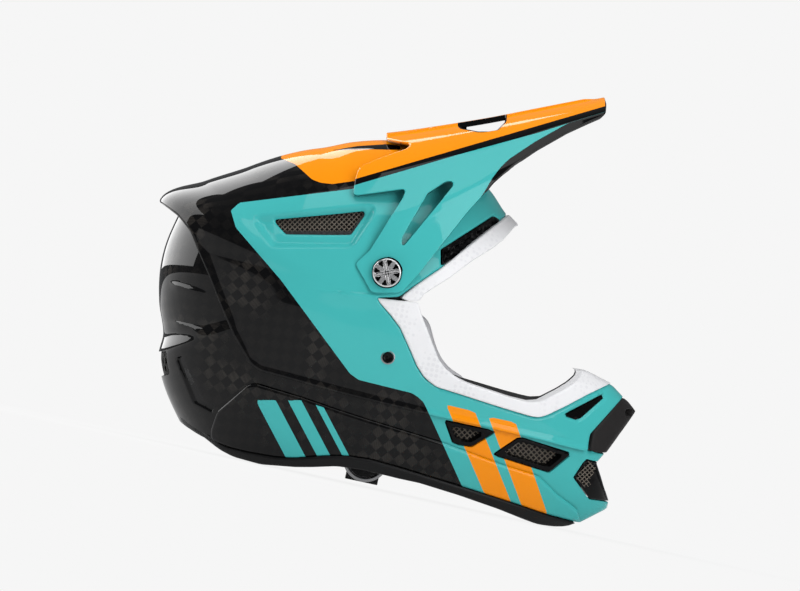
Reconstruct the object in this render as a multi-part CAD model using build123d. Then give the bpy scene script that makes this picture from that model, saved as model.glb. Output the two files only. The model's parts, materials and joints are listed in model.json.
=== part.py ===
from build123d import *
import math
import os

# Full face helmet for downhill riding.
# It is drawn as it is worn: +X forward, +Y to the rider's left, +Z up,
# with the origin on the axis of the visor's two side screws.
# At the end every piece is leaned back, so that the helmet stands on its chin and neck rim.

# Driving sizes of the shell, in millimetres
helmet_length = 358.0
helmet_height = 292.0
hood_half_width = 118.0
body_half_width = 114.5
skirt_rise = 3.0
shell_wall = 2.2
foam_gap = 0.35
trim_rise = 1.2
trim_depth = 5.0
seat_gap = 0.15
reach = 420.0
flat_depth = 0.6

# Driving sizes of the visor and its screws
visor_wall = 2.4
leg_wall = 3.5
leg_clearance = 1.6
leg_radius = 15.0
tilt_up = 5.0
tilt_down = 12.0
screw_head_radius = 10.75
screw_head_height = 3.5
screw_shank_radius = 4.0
screw_thread_radius = 3.0
screw_thread_length = 8.0
running_fit = 0.1
thread_fit = 0.05
head_recess_depth = 1.3
head_recess_gap = 0.45
washer_radius = 12.0
washer_gap = 0.1
boss_radius = 14.0
boss_depth = 9.0
insert_radius = 5.5
insert_fit = 0.06
insert_flange_radius = 9.0
insert_flange_height = 1.8

# Centre screw of the visor, on a lug that slides over the crown
centre_angle = 24.0
crown_boss_radius = 7.0
crown_boss_rise = 1.6
lug_gap = 0.5
lug_wall = 2.5
lug_half_width = 11.0
lug_rib = 2.4
lug_margin = 4.5
centre_head_radius = 7.0
centre_head_height = 3.2
centre_head_gap = 0.12
centre_shank_radius = 2.5
centre_slot_gap = 0.3
centre_screw_depth = 13.0
access_radius = 9.0

# Driving sizes of the nets, bezels and grilles
net_wall = 0.8
net_gap = 0.4
bezel_width = 3.0
bezel_rise = 0.8
bezel_depth = 4.2
guard_rise = 0.8
guard_depth = 6.0
net_hole = 5.0
net_bar = 2.2
guard_slot_length = 15.0
guard_slot_pitch = 20.0
front_hole = 7.6
rib_wall = 1.8
rib_pitch = 6.0

# Driving sizes of the foam and the soft lining
cavity_length = 206.0
cavity_width = 168.0
cavity_height = 190.0
pad_face = 53.0
pad_back = 80.0
pad_gap = 0.4
comfort_wall = 6.5
duct_depth = 13.0
neck_roll_wall = 18.0
neck_roll_gap = 0.8
chin_foam_wall = 13.0
chin_foam_gap = 1.4
snap_radius = 2.5
snap_gap = 0.35
snap_depth = 3.0
breath_half_width = 34.0
mesh_tolerance = 0.05

# Driving sizes of the strap, its rivets and rings
strap_drop = 58.4
strap_width = 25.0
strap_wall = 1.6
strap_gap = 0.35
anchor_wall = 1.2
anchor_radius = 10.0
rivet_head_radius = 4.4
rivet_head_height = 2.0
rivet_shank_radius = 2.4
rivet_fit = 0.06
rivet_tail_height = 1.2
ring_wire_radius = 1.75
ring_inner_width = 27.0
ring_height = 22.0
ring_pitch = 4.2
loop_gap = 0.35

# Side view outlines, as shares of the helmet's length and height, about the screw axis
hull_centre_shares = (-0.0866, -0.0445)
hood_outline_shares = [
    (-0.4721, 0.1952), (-0.3799, 0.2370), (-0.2860, 0.2747), (-0.1416, 0.3205), (-0.0693, 0.3366),
    (0, 0.3411), (0.0838, 0.3281), (0.1620, 0.2774), (0.2179, 0.2089), (0.2556, 0.1438),
    (0.3575, -0.0171), (0.4330, -0.1541), (0.4860, -0.2740), (0.5279, -0.3562), (0.5307, -0.4452),
    (0.4972, -0.5959), (0.4190, -0.6747), (0.2514, -0.7363), (0.0559, -0.7603), (-0.1676, -0.7192),
    (-0.3492, -0.5651), (-0.4413, -0.4041), (-0.4804, -0.2397), (-0.4860, -0.0685), (-0.4804, 0.0856)]
body_outline_shares = [
    (-0.4190, 0.1781), (-0.3575, 0.2158), (-0.2765, 0.2603), (-0.1397, 0.3103), (-0.0684, 0.3264),
    (0, 0.3308), (0.0810, 0.3178), (0.1564, 0.2699), (0.2109, 0.2038), (0.2486, 0.1387),
    (0.3492, -0.0205), (0.4246, -0.1575), (0.4777, -0.2740), (0.5196, -0.3562), (0.5223, -0.4452),
    (0.4888, -0.5890), (0.4134, -0.6644), (0.2514, -0.7260), (0.0559, -0.7500), (-0.1676, -0.7089),
    (-0.3408, -0.5514), (-0.4288, -0.3938), (-0.4707, -0.2740), (-0.4791, -0.2123), (-0.4687, -0.1541),
    (-0.4771, -0.0753), (-0.4721, 0.0342), (-0.4497, 0.1164)]
upper_crease_shares = [
    (0.4274, -0.4599), (0.3818, -0.4476), (0.3156, -0.4264), (0.1916, -0.3904), (0.0880, -0.3630),
    (-0.0156, -0.3332), (-0.1056, -0.3055), (-0.2137, -0.2682), (-0.2654, -0.2514), (-0.2877, -0.2312),
    (-0.3221, -0.1558), (-0.3508, -0.0719), (-0.3715, -0.0068), (-0.3939, 0.0565), (-0.4106, 0.1062),
    (-0.4413, 0.1483)]
hood_closing_shares = [
    (-0.4804, 0.1849), (-0.56, 0.2055), (-0.56, 0.6849), (0.6983, 0.6849), (0.6983, -0.4599)]
lower_crease_shares = [
    (-0.3584, -0.3572), (-0.2919, -0.2870), (-0.2737, -0.2849), (-0.1777, -0.3195), (-0.0986, -0.3527),
    (-0.0335, -0.3784), (0.0257, -0.4007), (0.1170, -0.4349), (0.2327, -0.4880), (0.3207, -0.5223),
    (0.3592, -0.5695), (0.4022, -0.6089)]
skirt_closing_shares = [(0.4469, -0.8904), (-0.3911, -0.8904), (-0.3715, -0.4041)]
rim_shares = [
    (-0.4469, -0.3699), (-0.4249, -0.3925), (-0.3939, -0.4168), (-0.3366, -0.4500), (-0.2933, -0.4623),
    (-0.2318, -0.4753), (-0.1922, -0.4767), (-0.1307, -0.4709), (-0.0838, -0.4709), (-0.0335, -0.4801),
    (0.0274, -0.5010), (0.1584, -0.5503), (0.2578, -0.5894), (0.3366, -0.6226), (0.3986, -0.6428)]
rim_closing_shares = [(0.6983, -0.6428), (0.6983, -1.0274), (-0.6145, -1.0274), (-0.6145, -0.3699)]
trim_bottom_shares = [
    (-0.4385, -0.3973), (-0.4159, -0.4147), (-0.3221, -0.4743), (-0.2642, -0.4935), (-0.1922, -0.5000),
    (-0.1561, -0.5000), (-0.1056, -0.4976), (-0.0514, -0.5062), (0.0274, -0.5301), (0.0673, -0.5404),
    (0.1500, -0.5719), (0.2330, -0.6075), (0.2869, -0.6342), (0.3156, -0.6473), (0.3489, -0.6531),
    (0.3760, -0.6531), (0.3980, -0.6440)]
brow_inner_shares = [
    (0.2723, 0.1226), (0.2453, 0.0846), (0.2246, 0.0644), (0.1832, 0.0336), (0.1335, -0.0120),
    (0.1003, -0.0377), (0.0796, -0.0541), (0.0693, -0.0660)]
cheek_inner_shares = [
    (0.0673, -0.0760), (0.0676, -0.0842), (0.0754, -0.1147), (0.0838, -0.1404), (0.0961, -0.1808),
    (0.1087, -0.2216), (0.1254, -0.2486), (0.1500, -0.2705), (0.1749, -0.2849), (0.2123, -0.3000),
    (0.2620, -0.3202), (0.2992, -0.3315), (0.3207, -0.3301), (0.3433, -0.3161), (0.3659, -0.3021),
    (0.3885, -0.2853), (0.4045, -0.2688), (0.4126, -0.2493)]
brow_edge_shares = [
    (0.2556, 0.1524), (0.2391, 0.1353), (0.1760, 0.0736), (0.1128, 0.0110), (0.0631, -0.0298),
    (0.0257, -0.0623)]
cheek_edge_shares = [
    (-0.0196, -0.0640), (-0.0156, -0.0743), (0.0092, -0.1096), (0.0279, -0.1404), (0.0466, -0.1908),
    (0.0631, -0.2384), (0.0796, -0.2705), (0.1034, -0.2925), (0.1500, -0.3103), (0.2330, -0.3432),
    (0.2743, -0.3586), (0.3017, -0.3685), (0.3184, -0.3712), (0.3338, -0.3661), (0.3737, -0.3432),
    (0.4190, -0.3137), (0.4690, -0.2849)]
eyeport_closing_shares = [(0.6983, -0.2849), (0.6983, 0.1524)]
eyeport_middle_shares = (0.30, -0.10)
chin_front_shares = [
    (0.4690, -0.2849), (0.4966, -0.3205), (0.5196, -0.3545), (0.4564, -0.4599), (0.4422, -0.4805),
    (0.4358, -0.4880), (0.4628, -0.5894), (0.4606, -0.6048), (0.3986, -0.6428)]
chin_closing_shares = [(0.3986, -0.9), (0.8, -0.9), (0.8, -0.2849)]
side_vent_shares = [(-0.2430, 0.1418), (-0.0405, 0.1661), (-0.0749, 0.1065), (-0.2176, 0.1065)]
rear_chin_vent_shares = [(0.1212, -0.3764), (0.2268, -0.4051), (0.1771, -0.4449), (0.1397, -0.4373)]
front_chin_vent_shares = [(0.2763, -0.4195), (0.3860, -0.4627), (0.3427, -0.5099), (0.2226, -0.4651)]
cheek_slot_shares = [
    (0.4620, -0.3045), (0.4656, -0.3137), (0.4078, -0.3726), (0.3980, -0.3781), (0.3743, -0.3685),
    (0.3726, -0.3630)]
brow_vent_shares = [(0.1201, 0.0300), (0.1201, 0.0788), (0.2150, 0.1480), (0.2230, 0.1400), (0.2120, 0.1150)]
guard_shares = [(0.4966, -0.3205), (0.5400, -0.3545), (0.4700, -0.4620), (0.4460, -0.4620), (0.4028, -0.4476)]
intake_shares = [
    (0.4154, -0.4777), (0.4600, -0.4914), (0.4800, -0.5894), (0.4235, -0.5795), (0.3902, -0.5236)]
rear_port_shares = [
    (-0.52, -0.2055), (-0.4497, -0.2021), (-0.4399, -0.2260), (-0.4581, -0.2603), (-0.52, -0.2740)]
chin_rest_share = trim_bottom_shares[13]
neck_rest_share = trim_bottom_shares[3]
rear_port_width_share = 0.36
guard_width_share = 0.62
intake_width_share = 0.44

# Visor: its side outline, and half sections at stations along it
visor_outline_shares = [
    (-0.0011, 0.3700), (-0.0011, 0.3455), (0.0168, 0.3397), (0.0508, 0.3305), (0.0391, 0.3192),
    (0.0176, 0.3103), (-0.0279, 0.2894), (-0.0570, 0.2723), (-0.0654, 0.2469), (-0.0715, 0.1962),
    (0.0402, 0.2140), (0.0321, 0.1911), (-0.0156, 0.0997), (-0.0363, 0.0592), (-0.0634, 0.0284),
    (-0.0654, 0.0185), (-0.0344, -0.0476), (-0.0274, -0.0521), (0.0215, -0.0527), (0.0341, -0.0476),
    (0.0673, -0.0045), (0.1170, 0.0743), (0.1665, 0.1507), (0.2142, 0.2164), (0.2246, 0.2318),
    (0.2662, 0.2774), (0.3156, 0.3182), (0.3779, 0.3613), (0.4235, 0.3866), (0.4483, 0.3993),
    (0.4564, 0.4096), (0.4587, 0.4349), (0.4483, 0.4900), (-0.0011, 0.4900)]
visor_slot_shares = [
    (0.1341, 0.2342), (0.1397, 0.2267), (0.0352, 0.0709), (0.0304, 0.0757), (0.0313, 0.0856),
    (0.0838, 0.2010), (0.1212, 0.2315)]
visor_window_shares = [(0.1536, 0.3780), (0.1676, 0.50), (0.2472, 0.50), (0.2430, 0.3887), (0.2263, 0.3678)]
visor_window_width_share = 0.30
# Each station: place, height of the ridge, half width and height of the shoulder, of the side, of the foot
visor_station_shares = [
    (-0.0838, 0.3480, 0.7900, 0.2400, 0.9950, 0.1300, 1.0150, -0.0700),
    (0.0000, 0.3545, 0.8300, 0.2603, 1.0050, 0.1300, 1.0240, -0.0700),
    (0.1117, 0.3733, 0.7700, 0.2950, 0.9150, 0.1800, 1.0000, 0.0000),
    (0.2151, 0.3938, 0.6900, 0.3253, 0.7900, 0.2400, 0.8400, 0.1300),
    (0.3156, 0.4178, 0.6200, 0.3664, 0.7000, 0.3000, 0.7300, 0.2400),
    (0.4749, 0.4560, 0.5000, 0.4220, 0.5300, 0.3800, 0.5450, 0.3500)]
ridge_curve_shares = [(0.34, 0.07), (0.66, 0.34)]

# Inside: foam regions and pads in the side view
liner_edge_shares = [
    (0.2300, 0.0900), (0.1750, 0.0400), (0.1200, -0.0050), (0.0850, -0.0350), (0.0500, -0.0700),
    (-0.1250, -0.0900), (-0.1350, -0.3400), (-0.2600, -0.3350), (-0.3450, -0.3250), (-0.4300, -0.3500)]
liner_closing_shares = [(-0.6, -0.35), (-0.6, 0.6), (0.6, 0.6), (0.6, 0.09)]
cheek_foam_shares = [
    (0.0420, -0.0800), (0.0600, -0.1200), (0.0880, -0.2050), (0.1060, -0.2560), (0.1420, -0.2860),
    (0.1600, -0.2950), (0.1440, -0.3560), (0.1080, -0.3640), (0.0700, -0.3900), (-0.1150, -0.3900),
    (-0.1170, -0.1020)]
pad_shares = [
    (0.0530, -0.0850), (0.0850, -0.1050), (0.1080, -0.1560), (0.1330, -0.2200), (0.1760, -0.2820),
    (0.1780, -0.3400), (0.1300, -0.3800), (0.0300, -0.3900), (-0.1000, -0.3800), (-0.1240, -0.3000),
    (-0.1240, -0.1700), (-0.1000, -0.0980), (-0.0200, -0.0850)]
pad_layer_shares = [(1.0, 0.95), (0.72, 1.0), (0.28, 0.96), (0.0, 0.80)]
snap_shares = [(0.0500, -0.1500), (-0.0850, -0.1400), (0.0900, -0.3300)]
chin_foam_shares = [
    (0.1750, -0.2790), (0.2620, -0.3140), (0.2992, -0.3235), (0.3260, -0.3190), (0.3700, -0.2905),
    (0.4000, -0.2700), (0.4200, -0.2600), (0.4700, -0.2940), (0.4950, -0.5200), (0.3900, -0.5700),
    (0.1950, -0.4900), (0.1750, -0.3250)]
breath_shares = [(0.3, -0.3700), (0.6, -0.3700), (0.6, -0.4650), (0.3, -0.4650)]
neck_roll_shares = [
    (-0.1450, -0.3700), (-0.1450, -0.4560), (-0.2318, -0.4580), (-0.2933, -0.4440), (-0.3366, -0.4300),
    (-0.3900, -0.3980), (-0.4300, -0.3720), (-0.4300, -0.3560), (-0.3450, -0.3310), (-0.2600, -0.3410),
    (-0.1450, -0.3460)]
cavity_centre_shares = (-0.1034, -0.0925)
rivet_shares = (0.0021, -0.2158)

# Lining: width of its middle strap, length of its cross strap, height of its band, and its nape patch
lining_strap_share = 0.33
lining_cross_share = 0.25
lining_band_share = 0.17
lining_nape_share = 0.5
lining_nape_low_share = 0.33

# Strap: steps inward and down from the rivet, as shares of the strap's drop
strap_fall_shares = [(0, -0.2), (-0.055, -0.5), (-0.137, -0.8)]
strap_turn_share = (0.137, -1.02)
strap_ring_share = 1.22
strap_lay_shares = [(0.027, -1.2), (-0.082, -1.42)]
strap_sag_shares = (-0.25, -0.45, -0.7)
strap_rest_shares = (-0.49, -0.82, -1.2)

# Section of every hull: a superellipse, drawn as rings at these shares of the half width
hull_power = 2.3
ring_points = 36
head_height_shares = [0.3, 0.57, 0.78, 0.91, 0.98]
station_shares = [0, 0.25, 0.5, 0.7, 0.84, 0.93, 0.985]


def placed(shares):
    """Turns shares of the helmet's length and height into points of the side view."""
    return [(x * helmet_length, z * helmet_height) for x, z in shares]


def leaned_back():
    """Angle in degrees that brings the rests under the chin and the neck to one level."""
    (chin_x, chin_z), (neck_x, neck_z) = placed([chin_rest_share, neck_rest_share])
    return math.degrees(math.atan2(neck_z - chin_z, chin_x - neck_x))


def shifted(points, dx, dz):
    """Moves side view points by a step."""
    return [(x + dx, z + dz) for x, z in points]


def drawn_to(points, middle, step):
    """Moves each point a step towards the middle."""
    moved = []
    for x, z in points:
        away = math.hypot(x - middle[0], z - middle[1])
        share = step / away
        moved.append((x + (middle[0] - x) * share, z + (middle[1] - z) * share))
    return moved


def middle_of(points):
    """The mean of some side view points."""
    return sum(x for x, z in points) / len(points), sum(z for x, z in points) / len(points)


def prism(points, start=-reach, end=reach):
    """A side view outline, carried across the helmet from one y to another."""
    outline = Wire.make_polygon([(x, start, z) for x, z in points])
    return Part() + Solid.extrude(Face(outline), (0, end - start, 0))


def rod(radius, x, z, start, end):
    """A cylinder along Y between two values of y."""
    face = Face(Wire.make_circle(radius, Plane((x, start, z), x_dir=(1, 0, 0), z_dir=(0, 1, 0))))
    return Part() + Solid.extrude(face, (0, end - start, 0))


def mirrored(shape):
    """The same piece on the other side of the helmet."""
    return shape.mirror(Plane.XZ)


def both_sides(shape):
    """A piece and its mirror image as one group of solids."""
    return Compound(list(shape.solids()) + list(mirrored(shape).solids()))


def chin_front(offset=0.0):
    """The space ahead of the chin's facets, moved forward by an offset."""
    return prism(shifted(placed(chin_front_shares + chin_closing_shares), offset, 0))


class Hull:
    """A rounded envelope: a side outline that swells to a half width."""

    def __init__(self, points, centre, half_width, power):
        self.centre = centre
        self.half_width = half_width
        self.power = power
        self.made = {}
        self.faces = {}
        self.knots = sorted(self.polar(x, z) for x, z in points)

    def polar(self, x, z):
        dx, dz = x - self.centre[0], z - self.centre[1]
        return math.atan2(dz, dx) % (2 * math.pi), math.hypot(dx, dz)

    def knot(self, index):
        turns, place = divmod(index, len(self.knots))
        angle, radius = self.knots[place]
        return angle + turns * 2 * math.pi, radius

    def radius(self, angle):
        """Radius of the outline at an angle, by a smooth curve through its points."""
        angle %= 2 * math.pi
        index = sum(1 for knot in self.knots if knot[0] <= angle)
        (a0, r0), (a1, r1), (a2, r2), (a3, r3) = (self.knot(index + step) for step in (-2, -1, 0, 1))
        if angle < a1:
            angle += 2 * math.pi
        span = a2 - a1
        u = (angle - a1) / span
        slope1 = (r2 - r0) / (a2 - a0) * span
        slope2 = (r3 - r1) / (a3 - a1) * span
        start = (2 * u**3 - 3 * u**2 + 1) * r1 + (u**3 - 2 * u**2 + u) * slope1
        return start + (3 * u**2 - 2 * u**3) * r2 + (u**3 - u**2) * slope2

    def ring(self, station, offset):
        """One ring of the surface, at a share of the half width."""
        shrink = (1 - abs(station) ** self.power) ** (1 / self.power)
        points = []
        for k in range(ring_points):
            angle = 2 * math.pi * (k + 0.5) / ring_points
            radius = (self.radius(angle) + offset) * shrink
            x = self.centre[0] + radius * math.cos(angle)
            z = self.centre[1] + radius * math.sin(angle)
            points.append(Vector(x, station * (self.half_width + offset), z))
        return Wire([Edge.make_spline(points, periodic=True)])

    def solid(self, offset=0.0):
        """The whole envelope, grown by an offset."""
        if offset not in self.made:
            stations = [-share for share in reversed(station_shares[1:])] + station_shares
            rings = [self.ring(station, offset) for station in stations]
            self.made[offset] = Part() + Solid.make_loft(rings)
        return self.made[offset]

    def faced(self, offset=0.0):
        """The envelope with the facets of the chin cut on its front."""
        if offset not in self.faces:
            self.faces[offset] = self.solid(offset) - chin_front(offset)
        return self.faces[offset]

    def side(self, x, z, offset=0.0):
        """Height of the surface above the middle plane, at a point of the side view."""
        angle, away = self.polar(x, z)
        share = away / (self.radius(angle) + offset)
        return (self.half_width + offset) * (1 - share**self.power) ** (1 / self.power)

    def skin(self, block, outer, inner):
        """The part of the wall between two offsets that lies in a block."""
        return (block & self.faced(outer)) - self.faced(inner)


stand_angle = leaned_back()
lean = math.radians(stand_angle)
hull_centre = placed([hull_centre_shares])[0]
cavity_centre = placed([cavity_centre_shares])[0]
hood = Hull(placed(hood_outline_shares), hull_centre, hood_half_width, hull_power)
body = Hull(placed(body_outline_shares), hull_centre, body_half_width, hull_power)
eyeport_middle = placed([eyeport_middle_shares])[0]
brow_edge = placed(brow_edge_shares)
cheek_edge = placed(cheek_edge_shares)
boss_face = hood_half_width
leg_inner = boss_face + leg_clearance
leg_outer = leg_inner + leg_wall
head_seat = leg_outer - head_recess_depth
rivet_x, rivet_z = placed([rivet_shares])[0]
rivet_face = hood.side(rivet_x, rivet_z)
crown_radius = helmet_height * hood_outline_shares[5][1]
crown_face = crown_radius + crown_boss_rise
lug_inner = crown_face + lug_gap
lug_outer = lug_inner + lug_wall
slot_reach = math.degrees((centre_shank_radius + centre_slot_gap) / lug_inner)
slot_start = centre_angle - tilt_down - slot_reach
slot_end = centre_angle + tilt_up + slot_reach
access_pitch = math.degrees((access_radius - centre_shank_radius) / lug_outer)
head_pitch = math.degrees((centre_head_radius - centre_shank_radius + lug_gap) / lug_outer)
strap_back = shell_wall + strap_gap + anchor_wall + strap_gap + strap_wall / 2
strap_face = body.side(rivet_x, rivet_z) - strap_back
loop_radius = ring_wire_radius + loop_gap
foot = pad_back - ring_wire_radius


def radial(radius, start, end, angle=centre_angle):
    """A cylinder that points away from the screw axis, leaning forward by an angle."""
    forward = math.sin(math.radians(angle))
    up = math.cos(math.radians(angle))
    base = Plane((forward * start, 0, up * start), x_dir=(0, 1, 0), z_dir=(forward, 0, up))
    face = Face(Wire.make_circle(radius, base))
    return Part() + Solid.extrude(face, Vector(forward, 0, up) * (end - start))


def crown_sector(inner, outer, start_angle, end_angle, half_width):
    """A block bent round the screw axis, between two angles forward of straight up."""
    steps = 8
    angles = [start_angle + (end_angle - start_angle) * k / steps for k in range(steps + 1)]
    away = [(outer * math.sin(math.radians(a)), outer * math.cos(math.radians(a))) for a in angles]
    back = [(inner * math.sin(math.radians(a)), inner * math.cos(math.radians(a))) for a in angles[::-1]]
    return prism(away + back, -half_width, half_width)


def grid_holes(points, start, end, slant=0.0, hole=net_hole, bar=net_bar):
    """Square holes in rows that cover a side view outline."""
    middle = middle_of(points)
    spread = max(math.hypot(x - middle[0], z - middle[1]) for x, z in points)
    pitch = hole + bar
    count = int(spread / pitch) + 1
    cos, sin = math.cos(math.radians(slant)), math.sin(math.radians(slant))
    holes = []
    for i in range(-count, count + 1):
        for j in range(-count, count + 1):
            corners = []
            for a, b in ((-1, -1), (1, -1), (1, 1), (-1, 1)):
                u, v = i * pitch + a * hole / 2, j * pitch + b * hole / 2
                corners.append((middle[0] + u * cos - v * sin, middle[1] + u * sin + v * cos))
            if all(inside(points, x, z) for x, z in corners):
                outline = Wire.make_polygon([(x, start, z) for x, z in corners])
                holes.append(Solid.extrude(Face(outline), (0, end - start, 0)))
    return holes


def inside(points, x, z):
    """Whether a point lies inside a side view outline."""
    crossed = False
    for (x0, z0), (x1, z1) in zip(points, points[1:] + points[:1]):
        if (z0 > z) != (z1 > z) and x < x0 + (x1 - x0) * (z - z0) / (z1 - z0):
            crossed = not crossed
    return crossed


def outer_shell():
    """Hood, recessed channel and skirt in one hollow shell, with every opening cut through."""
    hood_block = prism(placed(upper_crease_shares + hood_closing_shares))
    core_block = prism(shifted(placed(upper_crease_shares + hood_closing_shares), 0, 2 * shell_wall))
    skirt_block = prism(placed(lower_crease_shares + skirt_closing_shares))
    shape = body.faced() + (hood.faced() & hood_block) + (body.faced(skirt_rise) & skirt_block)
    hollow = body.faced(-shell_wall) + (hood.faced(-shell_wall) & core_block)
    shape = shape - shell_openings() - hollow
    shape = max(shape.solids(), key=lambda solid: solid.volume)
    shape = Part() + shape + [boss_block(), mirrored(boss_block()), crown_boss()]
    return max((shape - shell_holes()).solids(), key=lambda solid: solid.volume)


def shell_openings():
    """Blocks of everything that is cut through the shell in the side view."""
    openings = [prism(brow_edge + cheek_edge + placed(eyeport_closing_shares)),
                prism(placed(rim_shares + rim_closing_shares)),
                guard_block(seat_gap), intake_block(seat_gap), port_block()]
    for points in side_openings():
        window = prism(points, 0, reach)
        openings += [window, mirrored(window)]
    return openings


def shell_holes():
    """Round holes for the inserts and the strap rivets."""
    insert_hole = rod(insert_radius + insert_fit, 0, 0, 0, reach)
    rivet_hole = rod(rivet_shank_radius + rivet_fit, rivet_x, rivet_z, 0, reach)
    rivet_seat = rod(rivet_head_radius + seat_gap, rivet_x, rivet_z, rivet_face - seat_gap, reach)
    left = [insert_hole, rivet_hole, rivet_seat]
    return left + [mirrored(hole) for hole in left] + [radial(insert_radius - running_fit, 0, reach)]


def boss_block():
    """Thick land round one side screw, on the left."""
    return rod(boss_radius, 0, 0, boss_face - boss_depth, boss_face)


def crown_boss():
    """Thick land under the visor's centre screw."""
    return radial(crown_boss_radius, crown_face - centre_screw_depth, crown_face)


def guard_block(grow=0.0):
    """Where the front guard goes: a block of the chin, wider by a gap."""
    points = placed(guard_shares)
    points = drawn_to(points, middle_of(points), -grow) if grow else points
    half = hood_half_width * guard_width_share + grow
    return prism(points, -half, half)


def intake_block(grow=0.0):
    points = placed(intake_shares)
    points = drawn_to(points, middle_of(points), -grow) if grow else points
    half = hood_half_width * intake_width_share + grow
    return prism(points, -half, half)


def port_block():
    half = hood_half_width * rear_port_width_share
    return prism(placed(rear_port_shares), -half, half)


def side_openings():
    """Every opening that is cut in both sides of the shell."""
    openings = [placed(side_vent_shares)]
    for shares in (rear_chin_vent_shares, front_chin_vent_shares, cheek_slot_shares, brow_vent_shares):
        points = placed(shares)
        openings.append(drawn_to(points, middle_of(points), -seat_gap))
    return openings


def eyeport_trim(edge, inner):
    """Rubber edging of the eye opening, pushed on the edge of the shell."""
    outline = drawn_to(edge, eyeport_middle, seat_gap) + list(reversed(inner))
    return hood.skin(prism(outline), trim_rise, -trim_depth)


def base_trim():
    """Rubber edging of the neck opening, with a flat where the helmet stands."""
    top = shifted(placed(rim_shares), 0, -seat_gap)
    band = prism(top + list(reversed(placed(trim_bottom_shares))))
    ring = body.skin(band, skirt_rise + trim_rise, -trim_depth)
    low = max(-x * math.sin(lean) - z * math.cos(lean) for x, z in placed(trim_bottom_shares))
    floor_block = Location((0, 0, 0), (0, stand_angle, 0)) * below_block(-low + flat_depth)
    return ring - floor_block


def below_block(top):
    """Everything under a height."""
    return Part() + Solid.make_box(2 * reach, 2 * reach, reach, Plane((-reach, -reach, top - reach)))


def bezel(points):
    """Gloss frame round a chin vent, on the left side."""
    hole = drawn_to(points, middle_of(points), bezel_width)
    frame = prism(points, 0, reach) - prism(hole, 0, reach)
    return body.skin(frame, bezel_rise, -bezel_depth)


def net(hull, points, depth, slant):
    """Holed sheet behind an opening, on the left side."""
    grown = drawn_to(points, middle_of(points), -net_bar)
    sheet = hull.skin(prism(grown, 0, reach), -depth, -depth - net_wall)
    return sheet - grid_holes(points, 0, reach, slant)


def brow_grille():
    """Ribbed black grille between the brow trim and the visor's leg, on the left."""
    points = placed(brow_vent_shares)
    plate = hood.skin(prism(points, 0, reach), 0, -trim_depth)
    opening = prism(drawn_to(points, middle_of(points), rib_wall), 0, reach)
    gap = rib_pitch - rib_wall
    place = min(x for x, z in points) + rib_pitch
    while place + rib_pitch < max(x for x, z in points):
        slot = prism([(place, -reach), (place + gap, -reach), (place + gap, reach), (place, reach)], 0, reach)
        plate = plate - (slot & opening)
        place += rib_pitch
    return plate


def mouth_guard():
    """Guard panel on the point of the chin, with breathing slots through it."""
    guard = hood.skin(guard_block(), guard_rise, -guard_depth)
    points = placed(guard_shares)
    low = min(z for x, z in points)
    high = max(z for x, z in points)
    for row in (1, 2):
        z = low + (high - low) * row / 3
        for column in range(-2, 3):
            y = column * guard_slot_pitch - guard_slot_length / 2
            guard = guard - Solid.make_box(reach, guard_slot_length, net_hole, Plane((hull_centre[0], y, z)))
    return guard


def chin_intake():
    """Gloss intake under the guard, with one wide mouth on each side of the middle."""
    intake = body.skin(intake_block(), bezel_rise, -guard_depth)
    points = placed(intake_shares)
    low = min(z for x, z in points) + bezel_width
    high = max(z for x, z in points) - bezel_width
    width = hood_half_width * intake_width_share - 2 * bezel_width
    height = (high - low) / 2
    for y in (-width - bezel_width / 2, bezel_width / 2):
        corner = Plane((hull_centre[0], y, low + height / 2))
        intake = intake - Solid.make_box(reach, width, height, corner)
    return intake


def front_net(hull, block):
    """Holed sheet behind an opening in the point of the chin."""
    depth = guard_depth + net_gap
    sheet = hull.skin(block, -depth, -depth - net_wall)
    pitch = front_hole + net_bar
    box = sheet.bounding_box()
    holes = []
    rows = int((box.max.Z - box.min.Z) / pitch) - 1
    columns = int((box.max.Y - box.min.Y) / 2 / pitch) - 1
    for row in range(rows):
        z = box.min.Z + pitch * (row + 0.5)
        for column in range(-columns, columns):
            y = column * pitch + net_bar / 2
            holes.append(Solid.make_box(reach, front_hole, front_hole, Plane((hull_centre[0], y, z))))
    return sheet - holes


def rear_net():
    """Holed sheet inside the exhaust port at the back of the head."""
    depth = shell_wall + foam_gap
    return body.skin(port_block(), -depth, -depth - net_wall)


def visor_section(station, wall):
    """One closed section of the visor, drawn in by a wall."""
    place, ridge, shoulder, shoulder_z, side, side_z, foot, foot_z = station
    x = place * helmet_length
    top = ridge * helmet_height - wall
    shoulder_y = shoulder * hood_half_width - wall
    drop = top - (shoulder_z * helmet_height - wall / 2)
    half = [(0, top)]
    half += [(across * shoulder_y, top - down * drop) for across, down in ridge_curve_shares]
    half.append((shoulder_y, top - drop))
    half.append((side * hood_half_width - wall, side_z * helmet_height))
    half.append((foot * hood_half_width - wall, foot_z * helmet_height))
    other = [(-y, z) for y, z in reversed(half[1:])]
    return Wire.make_polygon([Vector(x, y, z) for y, z in half + other])


def lug_sector(inner, outer, margins, half_width):
    """A block over the lug, longer than its slot by a number of margins at each end."""
    start, end = slot_start - margins * lug_margin, slot_end + margins * lug_margin
    return crown_sector(inner, outer, start, end, half_width)


def visor_skin():
    """The peak's wall with two ribs under it that carry the slotted lug."""
    outer = Solid.make_loft([visor_section(station, 0.0) for station in visor_station_shares])
    inner = Solid.make_loft([visor_section(station, visor_wall) for station in visor_station_shares])
    block = (Part() + outer) & prism(placed(visor_outline_shares))
    ribs = block & lug_sector(lug_inner, reach, 1, lug_half_width + lug_rib)
    ribs = ribs - lug_sector(lug_inner / 2, reach, 2, lug_half_width)
    lug = lug_sector(lug_inner, lug_outer, 1, lug_half_width + lug_rib)
    return (block - inner) + ribs + lug


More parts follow.
